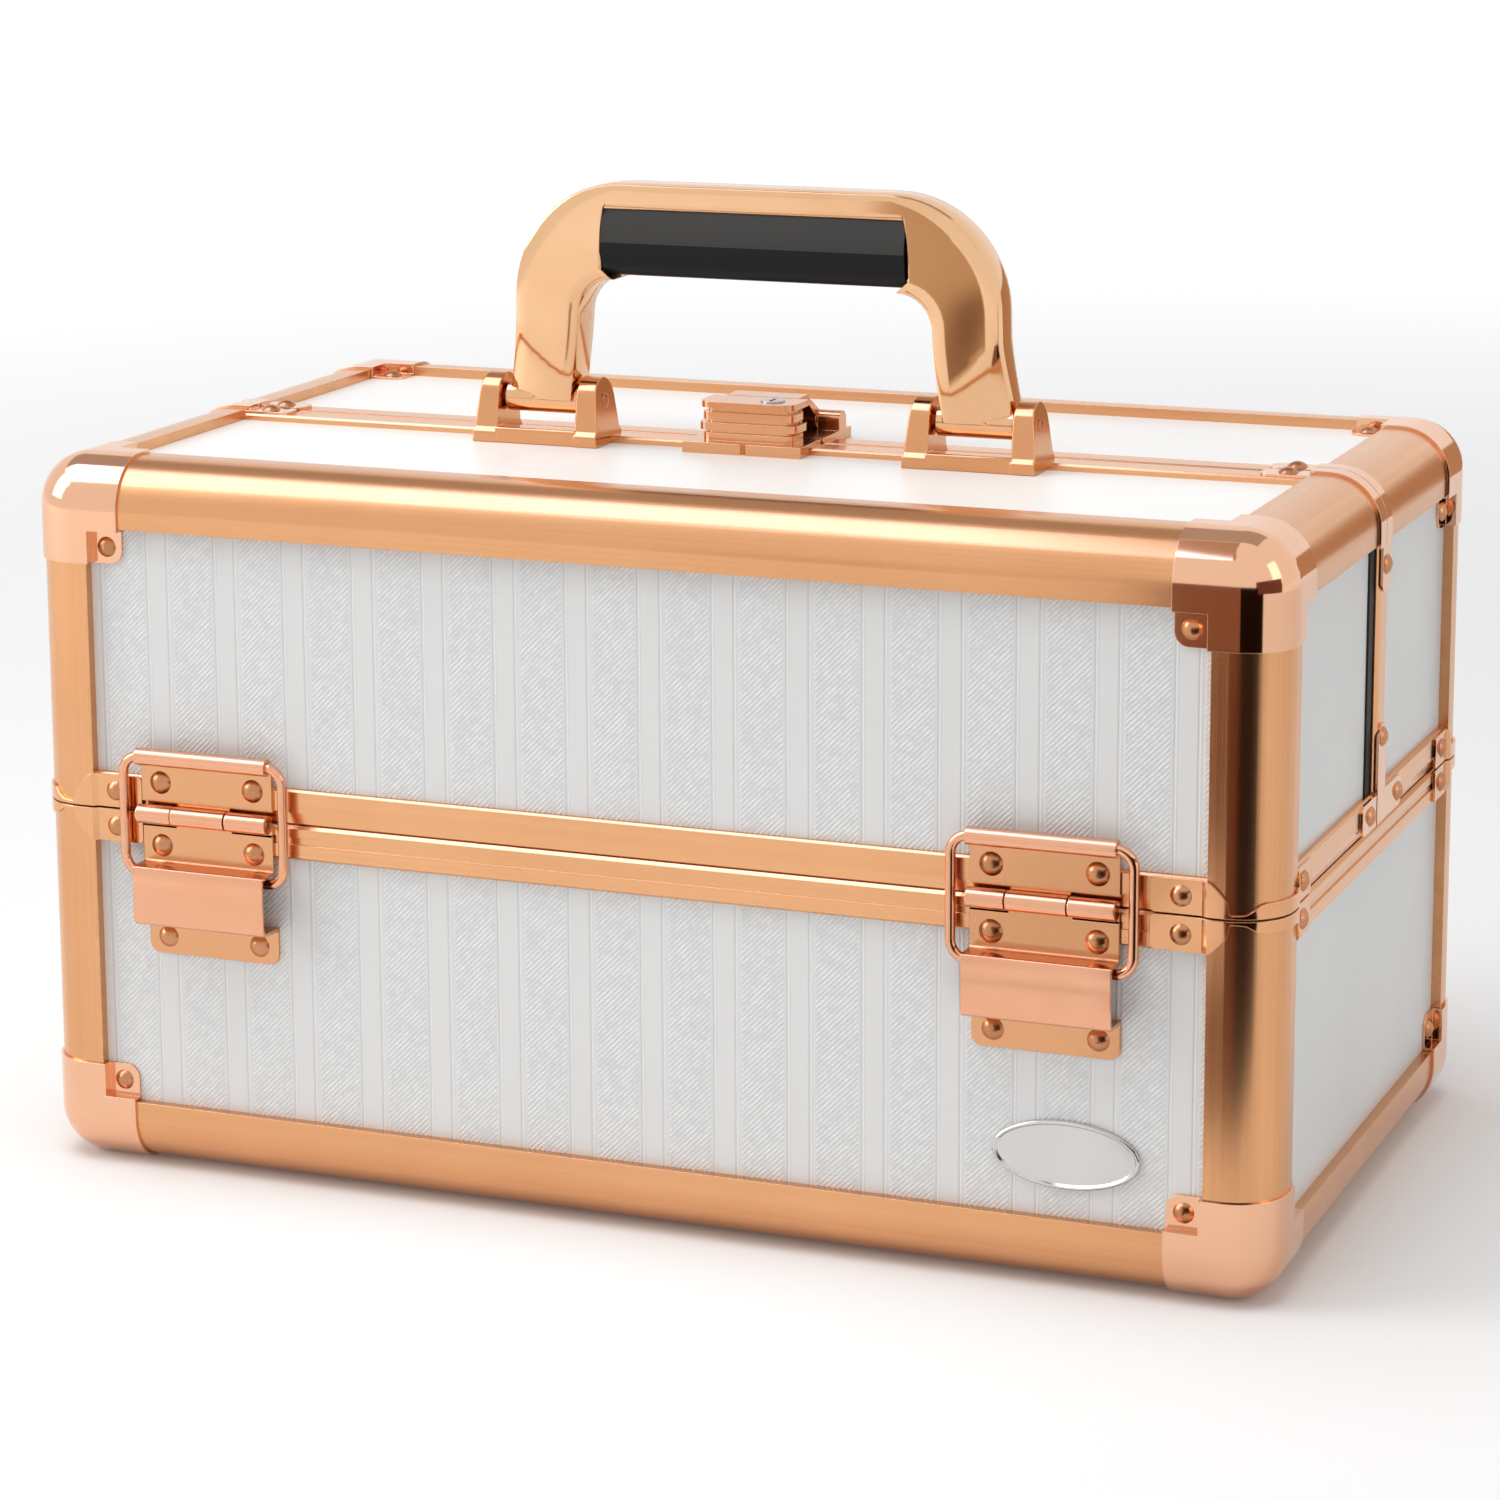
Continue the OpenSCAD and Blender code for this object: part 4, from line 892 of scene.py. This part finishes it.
@dataclass
class BeltCorners:
    """The riveted corner plates of the belt, each with a thin band round its post.

    The plates lie on the belt, which is set back by on_belt from the post's face. The step down to it ends
    step_end from the corner and is step wide. Plate is a plate's height, and gap keeps it off the seam.
    """

    palette: Palette
    frame: dict
    half_w: float = 182.5
    half_d: float = 105.0
    belt_z: float = 106.0
    bend: float = 14.8
    sheet: float = 0.8
    on_belt: float = 1.0
    step_end: float = 19.4
    step: float = 1.6
    plate: float = 9.7
    upper_band: float = 4.4
    lower_band: float = 3.8
    neck: float = 1.3
    gap: float = 0.25
    bevel: float = 0.18
    seam_reach: float = 80.0

    def build(self) -> None:
        """Builds the plates of the lower case and of both lids, with the lids' seam brackets."""
        finish = self.palette.get("belt_plate")
        shape = Shape()
        for x in (-1, 1):
            for y in (-1, 1):
                self.strip(shape, x, y, -1, self.lower_band)
        shape.make("lower_corner_plates", "lower_case", finish, ["lower_belt_brackets"], bevel=self.bevel)
        for lid, y in (("front", -1), ("rear", 1)):
            shape = Shape()
            for x in (-1, 1):
                self.strip(shape, x, y, 1, self.upper_band)
            node = f"{lid}_lid_brackets"
            shape.make(f"{lid}_corner_plates", f"{lid}_lid", finish, [node], bevel=self.bevel)
            rest = Shape()
            rest.borrow(self.frame["nodes"][node].data,
                        lambda low, high: max(abs(low.y), abs(high.y)) < self.seam_reach)
            rest.make(f"{lid}_seam_brackets", f"{lid}_lid", self.palette.get("cap"), [node])

    def depth(self, reach: float) -> float:
        """Depth of the plate's face below the post's face at a distance from the corner."""
        return self.on_belt * min(max((reach - self.step_end) / self.step, 0.0), 1.0)

    def stations(self, band: float) -> list[tuple[Spot, Spot, float, float]]:
        """Places along a plate and its band, from the front end round the corner to the side end.

        Args:
            band: Height of the band.

        Returns:
            Outer and inner point as distances from the side and the front, then lower and upper height.
        """
        rows = []
        for reach, low, high in ((35.0, 1.4, 8.4), (34.7, 0.7, 9.2), (34.0, self.gap, self.plate),
                                 (21.0, self.gap, self.plate), (self.step_end, self.gap, self.plate),
                                 (18.4, self.gap, 9.3), (16.8, self.gap, 7.8), (15.4, self.gap, 6.3)):
            d = self.depth(reach)
            rows.append(((reach, d), (reach, d + self.sheet), low, high))
        r, inner = self.bend, self.bend - self.sheet
        for turn, high in ((0, 5.6), (2.5, 4.9), (5, self.neck + 0.5), (7, self.neck), (14, self.neck),
                           (22, self.neck + 0.2), (29, 2.5), (36, 0.9 * band), (43, band), (55, band), (66, band),
                           (78, band), (90, band)):
            sine, cosine = math.sin(math.radians(turn)), math.cos(math.radians(turn))
            rows.append(((r - r * sine, r - r * cosine), (r - inner * sine, r - inner * cosine), self.gap, high))
        for reach, low, high in ((17.4, self.gap, band), (18.6, self.gap, band + 0.8), (self.step_end, self.gap, 7.4),
                                 (20.2, self.gap, 9.0), (21.0, self.gap, self.plate), (33.2, self.gap, self.plate),
                                 (33.8, 0.7, 9.2), (34.0, 1.4, 8.4)):
            d = self.depth(reach)
            rows.append(((d, reach), (d + self.sheet, reach), low, high))
        return rows

    def strip(self, shape: Shape, x: int, y: int, up: int, band: float) -> None:
        """Adds one plate and band.

        Args:
            shape: The mesh that it goes into.
            x, y: Signs of the corner.
            up: 1 above the belt's seam, -1 below it.
            band: Height of the band.
        """
        rows = []
        for outer, inner, low, high in self.stations(band):
            corner = []
            for (p, q), z in ((outer, low), (outer, high), (inner, high), (inner, low)):
                corner.append((x * (self.half_w - p), y * (self.half_d - q), self.belt_z + up * z))
            rows.append(corner)
        shape.loft(rows)


@dataclass
class LowerHingeLeaves:
    """The four lower hinge leaves: a leaf, a raised channel for the stay ring and a riveted flange.

    Faces are depths below the case's front or rear plane, less than 0 when they stand proud. Tops and lows
    are heights over the pin, and the splits are where the upper leaf's knuckle begins and ends.
    """

    palette: Palette
    places: tuple[float, float] = (-126.8, 119.2)
    half_d: float = 105.0
    belt_z: float = 106.0
    half: float = 20.5
    sheet: float = 1.0
    leaf_face: float = 0.8
    channel_face: float = -6.3
    flange_face: float = 2.8
    leaf_top: float = -3.2
    channel_top: float = -14.2
    channel_low: float = -31.7
    flange_low: float = -41.5
    flange_r: float = 3.0
    knuckle_r: float = 2.75
    knuckle_edge: float = 0.25
    strap_low: float = -4.2
    pin_depth: float = -1.4
    splits: tuple[float, float] = (-9.58, 7.53)

    def build(self) -> None:
        """Builds the leaves at the front and, mirrored, at the rear."""
        shape = Shape()
        for side in (-1, 1):
            for x in self.places:
                self.leaf(shape, x, side)
        shape.make("lower_hinge_sheets", "lower_case", self.palette.get("hinge"), ["lower_hinge_leaves"],
                   bevel=0.22)

    def leaf(self, shape: Shape, x: float, side: int) -> None:
        """Adds one leaf.

        Args:
            shape: The mesh that it goes into.
            x: Middle of the hinge.
            side: -1 at the front, 1 at the rear.
        """
        def spot(depth: float, height: float) -> Spot:
            """A point of the sheet's section, from its depth and its height over the pin."""
            return side * (self.half_d - depth), self.belt_z + height

        t, face, out = self.sheet, self.leaf_face, self.channel_face
        top, low = self.channel_top, self.channel_low
        section = [spot(face, self.leaf_top), spot(face, top + 0.5), spot(face - 0.5, top), spot(out + 0.9, top),
                   spot(out + 0.25, top - 0.25), spot(out, top - 0.9), spot(out, low + 2.2), spot(out + 0.5, low + 1.0),
                   spot(out + 1.4, low + 0.35), spot(self.flange_face - 0.4, low), spot(self.flange_face, low - 0.6),
                   spot(self.flange_face + t, low - 0.6), spot(self.flange_face + t, low + t),
                   spot(out + 1.9, low + t + 0.3), spot(out + t, low + t + 1.3), spot(out + t, top - t),
                   spot(face + t, top - t), spot(face + t, self.leaf_top)]
        shape.prism(section, 0, x - self.half, x + self.half)
        left, right, r = x - self.half, x + self.half, self.flange_r
        foot, brow = self.belt_z + self.flange_low, self.belt_z + low - 0.3
        outline = [(left, brow)] + arc((left + r, foot + r), r, 180, 270, 6)
        outline += arc((right - r, foot + r), r, 270, 360, 6) + [(right, brow)]
        shape.prism(outline, 1, *sorted(side * (self.half_d - d) for d in (self.flange_face, self.flange_face + t)))
        centre = (x, side * (self.half_d - self.pin_depth), self.belt_z)
        r, e = self.knuckle_r, self.knuckle_edge
        strap = [spot(face, self.strap_low), spot(face, 0), spot(face + t, 0), spot(face + t, self.strap_low)]
        for start, stop in ((-self.half, self.splits[0]), (self.splits[1], self.half)):
            shape.lathe([(start, r - e), (start + e, r), (stop - e, r), (stop, r - e)], centre, steps=28)
            shape.prism(strap, 0, x + start, x + stop)


@dataclass
class BlankPlate:
    """The bare oval plate on the lower right of the front."""

    palette: Palette
    steps: int = 72
    rim: tuple[Spot, ...] = ((0.0, 0.0), (0.0, 0.55), (0.2, 0.85), (0.5, 1.0), (0.9, 1.0), (1.2, 0.8), (1.5, 0.62),
                             (3.0, 0.66), (5.5, 0.7), (8.0, 0.72))
    """Distance in from the edge, and share of the plate's thickness there."""

    def build(self) -> None:
        """Builds the plate with its raised rim and low crown."""
        low, high = (Vector(corner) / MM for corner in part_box("oval_plate"))
        middle, half = (low + high) / 2, (high - low) / 2
        turns = [math.tau * k / self.steps for k in range(self.steps)]
        shape = Shape()
        shape.loft([[(middle.x + (half.x - inset) * math.cos(a), high.y - (high.y - low.y) * rise,
                      middle.z + (half.z - inset) * math.sin(a)) for a in turns] for inset, rise in self.rim])
        shape.make("oval_plate_blank", "lower_case", self.palette.get("badge"), ["oval_plate"], angle=24)


@dataclass
class Studio:
    """Camera, lights, floor and background, in metres and degrees.

    Glow is what the camera and mirrors see of the floor over its own light, from near the case to far away.
    """

    lens: float = 106.13
    place: Point = (0.46032, -1.16250, 0.41576)
    azimuth: float = 22.138
    elevation: float = 11.493
    roll: float = -0.3456
    shift: Spot = (0.0179, -0.1097)
    fill: float = 0.42
    paper: float = 0.82
    floor_half: float = 12.0
    near: float = 0.35
    far: float = 2.6
    near_glow: float = 0.06
    far_glow: float = 0.68
    ceiling: float = 1.7

    def build(self) -> None:
        """Sets up everything round the object."""
        self._camera()
        self._world()
        self._floor()
        self._lamps()
        self._cards()
        bpy.context.scene.view_settings.view_transform = "Standard"

    def _camera(self) -> None:
        """Places the camera as the photograph's."""
        a, e, r = (math.radians(v) for v in (self.azimuth, self.elevation, self.roll))
        back = Vector((math.sin(a) * math.cos(e), -math.cos(a) * math.cos(e), math.sin(e)))
        right = (-back).cross(Vector((0, 0, 1))).normalized()
        up = right.cross(-back)
        turned = right * math.cos(r) + up * math.sin(r)
        upright = up * math.cos(r) - right * math.sin(r)
        camera = bpy.data.cameras.new("Camera")
        camera.lens, camera.sensor_width = self.lens, 36.0
        camera.shift_x, camera.shift_y = self.shift
        camera.clip_start = 0.05
        holder = bpy.data.objects.new("Camera", camera)
        turn = Matrix((turned, upright, back)).transposed().to_4x4()
        holder.matrix_world = Matrix.Translation(self.place) @ turn
        bpy.context.scene.collection.objects.link(holder)
        bpy.context.scene.camera = holder

    def _world(self) -> None:
        """White background for what the camera and polished metal see, plain grey fill for the rest."""
        world = bpy.data.worlds.new("Studio")
        bpy.context.scene.world = world
        n = bare_nodes(world)
        fill, white = (n.add("Background", {"Color": (1.0, 1.0, 1.0, 1.0), "Strength": strength})
                       for strength in (self.fill, 1.0))
        mix = n.add("MixShader", {0: self._seen(n), 1: fill.outputs[0], 2: white.outputs[0]})
        n.add("OutputWorld", {"Surface": mix.outputs[0]})

    @staticmethod
    def _seen(n: Nodes) -> bpy.types.NodeSocket:
        """1 for what the camera sees, straight, mirrored or through glass, and 0 for light on the object."""
        path = n.add("LightPath").outputs
        mirrored = n.math("MAXIMUM", path["Is Glossy Ray"], path["Is Transmission Ray"])
        return n.math("MAXIMUM", path["Is Camera Ray"], mirrored)

    def _floor(self) -> None:
        """Plain white floor that keeps the shadow and fades into the background."""
        material = bpy.data.materials.new("White floor")
        n = bare_nodes(material)
        away = n.add("VectorMath", {0: n.place()}, operation="LENGTH").outputs["Value"]
        glow = n.add("MapRange", {"Value": away, "From Min": self.near, "From Max": self.far,
                                  "To Min": self.near_glow, "To Max": self.far_glow},
                     interpolation_type="SMOOTHSTEP").outputs[0]
        paper = n.add("BsdfDiffuse", {"Color": (self.paper, self.paper, self.paper, 1.0)})
        lift = n.add("Emission", {"Color": (1.0, 1.0, 1.0, 1.0), "Strength": n.math("MULTIPLY", self._seen(n), glow)})
        both = n.add("AddShader", {0: paper.outputs[0], 1: lift.outputs[0]})
        n.add("OutputMaterial", {"Surface": both.outputs[0]})
        half = self.floor_half
        self._sheet("Floor", self._level(0.0, -half, half, -half, half), material)

    @staticmethod
    def _sheet(name: str, outline: Sequence[Point], material: bpy.types.Material) -> bpy.types.Object:
        """Adds a flat sheet that belongs to the studio.

        Args:
            name: Name of the sheet.
            outline: Its four corners.
            material: What it is made of.

        Returns:
            The sheet.
        """
        mesh = bpy.data.meshes.new(name)
        mesh.from_pydata(outline, [], [(0, 1, 2, 3)])
        mesh.materials.append(material)
        sheet = bpy.data.objects.new(name, mesh)
        bpy.context.scene.collection.objects.link(sheet)
        return sheet

    def _lamps(self) -> None:
        """Broad soft boxes: one above, one at the left, a weak one at the right."""
        for name, place, aim, size, power in (
                ("Top box", (-0.15, -0.25, 1.55), (0, 0, 0.1), (1.5, 1.1), 17.0),
                ("Left box", (-1.7, -0.9, 1.1), (0, 0, 0.12), (1.0, 1.4), 15.5),
                ("Right box", (1.9, -0.3, 0.9), (0, 0, 0.12), (0.7, 1.3), 3.0)):
            lamp = bpy.data.lights.new(name, "AREA")
            lamp.shape, lamp.size, lamp.size_y, lamp.energy = "RECTANGLE", size[0], size[1], power
            holder = bpy.data.objects.new(name, lamp)
            holder.location = place
            holder.rotation_euler = (Vector(aim) - Vector(place)).to_track_quat("-Z", "Y").to_euler()
            holder.visible_glossy = name != "Top box"
            bpy.context.scene.collection.objects.link(holder)

    def _cards(self) -> None:
        """Cards that only reflections show: dark ones in front and at the right, bright and sandy ones above."""
        black, brown = (0.012, 0.005, 0.003), (0.15, 0.06, 0.035)
        above = self.ceiling
        for name, outline, glow in (
                ("Dark card low right", self._upright(-0.25, 0.186, 0.36, 0.0, 0.2), black),
                ("Brown card right lower", self._upright(-0.25, 0.106, 0.186, 0.0, 0.046), brown),
                ("Brown card right middle", self._upright(-0.25, 0.13, 0.186, 0.046, 0.082), brown),
                ("Brown card right upper", self._upright(-0.25, 0.106, 0.186, 0.082, 0.142), brown),
                ("Sand card rear right", self._upright(0.75, 0.1, 0.6, 0.095, 0.3), (0.5, 0.3, 0.17)),
                ("Brown card high right", self._upright(-0.25, 0.106, 0.186, 0.142, 0.2), (0.26, 0.13, 0.08)),
                ("Dark card beside handle", [(0.29, -0.26, 0.168), (0.39, -0.09, 0.168), (0.39, -0.09, 0.235),
                                             (0.29, -0.26, 0.235)], (0.16, 0.07, 0.05)),
                ("Sand sheet before hinge", self._level(0.002, -0.015, 0.045, -0.39, -0.52), (0.72, 0.66, 0.62)),
                ("Sand card far left", self._upright(-0.92, -0.29, -0.19, 0.06, 0.21), (0.62, 0.48, 0.34)),
                ("Brown card far left", [(-0.254, -0.9, 0.068), (-0.234, -0.9, 0.078), (-0.218, -0.9, 0.132),
                                         (-0.243, -0.9, 0.12)], (0.14, 0.05, 0.025)),
                ("Bright card above", self._level(above, -1.8, -0.31, -1.15, 0.08), (3.0, 3.2, 4.5)),
                ("Sand card above", self._level(above, -0.305, -0.1, -1.15, 0.08), (0.5, 0.36, 0.25)),
                ("Grey card above", self._level(above, -1.8, 0.6, 0.1, 1.5), (0.5, 0.46, 0.42))):
            self._card(name, outline, glow)

    @staticmethod
    def _upright(y: float, left: float, right: float, low: float, high: float) -> list[Point]:
        """Four corners of an upright card that faces the case."""
        return [(left, y, low), (right, y, low), (right, y, high), (left, y, high)]

    @staticmethod
    def _level(z: float, left: float, right: float, front: float, rear: float) -> list[Point]:
        """Four corners of a level card or floor."""
        return [(left, front, z), (right, front, z), (right, rear, z), (left, rear, z)]

    def _card(self, name: str, outline: Sequence[Point], glow: tuple[float, float, float]) -> None:
        """Hangs one card that neither lights the object nor shows to the camera.

        Args:
            name: Name of the card.
            outline: Its four corners.
            glow: Linear colour that reflections show, 1 being white.
        """
        material = bpy.data.materials.new(name)
        n = bare_nodes(material)
        peak = max(*glow, 1.0)
        light = n.add("Emission", {"Color": tuple(c / peak for c in glow) + (1.0,), "Strength": peak})
        n.add("OutputMaterial", {"Surface": light.outputs[0]})
        card = self._sheet(name, outline, material)
        card.visible_camera = card.visible_diffuse = card.visible_shadow = card.visible_transmission = False


def dress_frame(frame: dict, palette: Palette) -> None:
    """Gives every CAD node the finish of its slot.

    Args:
        palette: The finishes.
    """
    for row in frame["record"]["subparts"]:
        materials = frame["nodes"][row["node"]].data.materials
        materials.clear()
        materials.append(palette.get(row["material_slot"]))
        log.info("dressed %s in %s", row["node"], row["material_slot"])


def main() -> None:
    """Builds the looks round the frame."""
    logging.basicConfig(level=logging.INFO, format="%(name)s: %(message)s")
    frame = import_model()
    palette = Palette(Effects())
    dress_frame(frame, palette)
    for assembly in (CarryHandle(palette), BeltCorners(palette, frame), LowerHingeLeaves(palette),
                     BlankPlate(palette)):
        log.info("building %s", type(assembly).__name__)
        assembly.build()
    Studio().build()


if __name__ == "__main__":
    main()
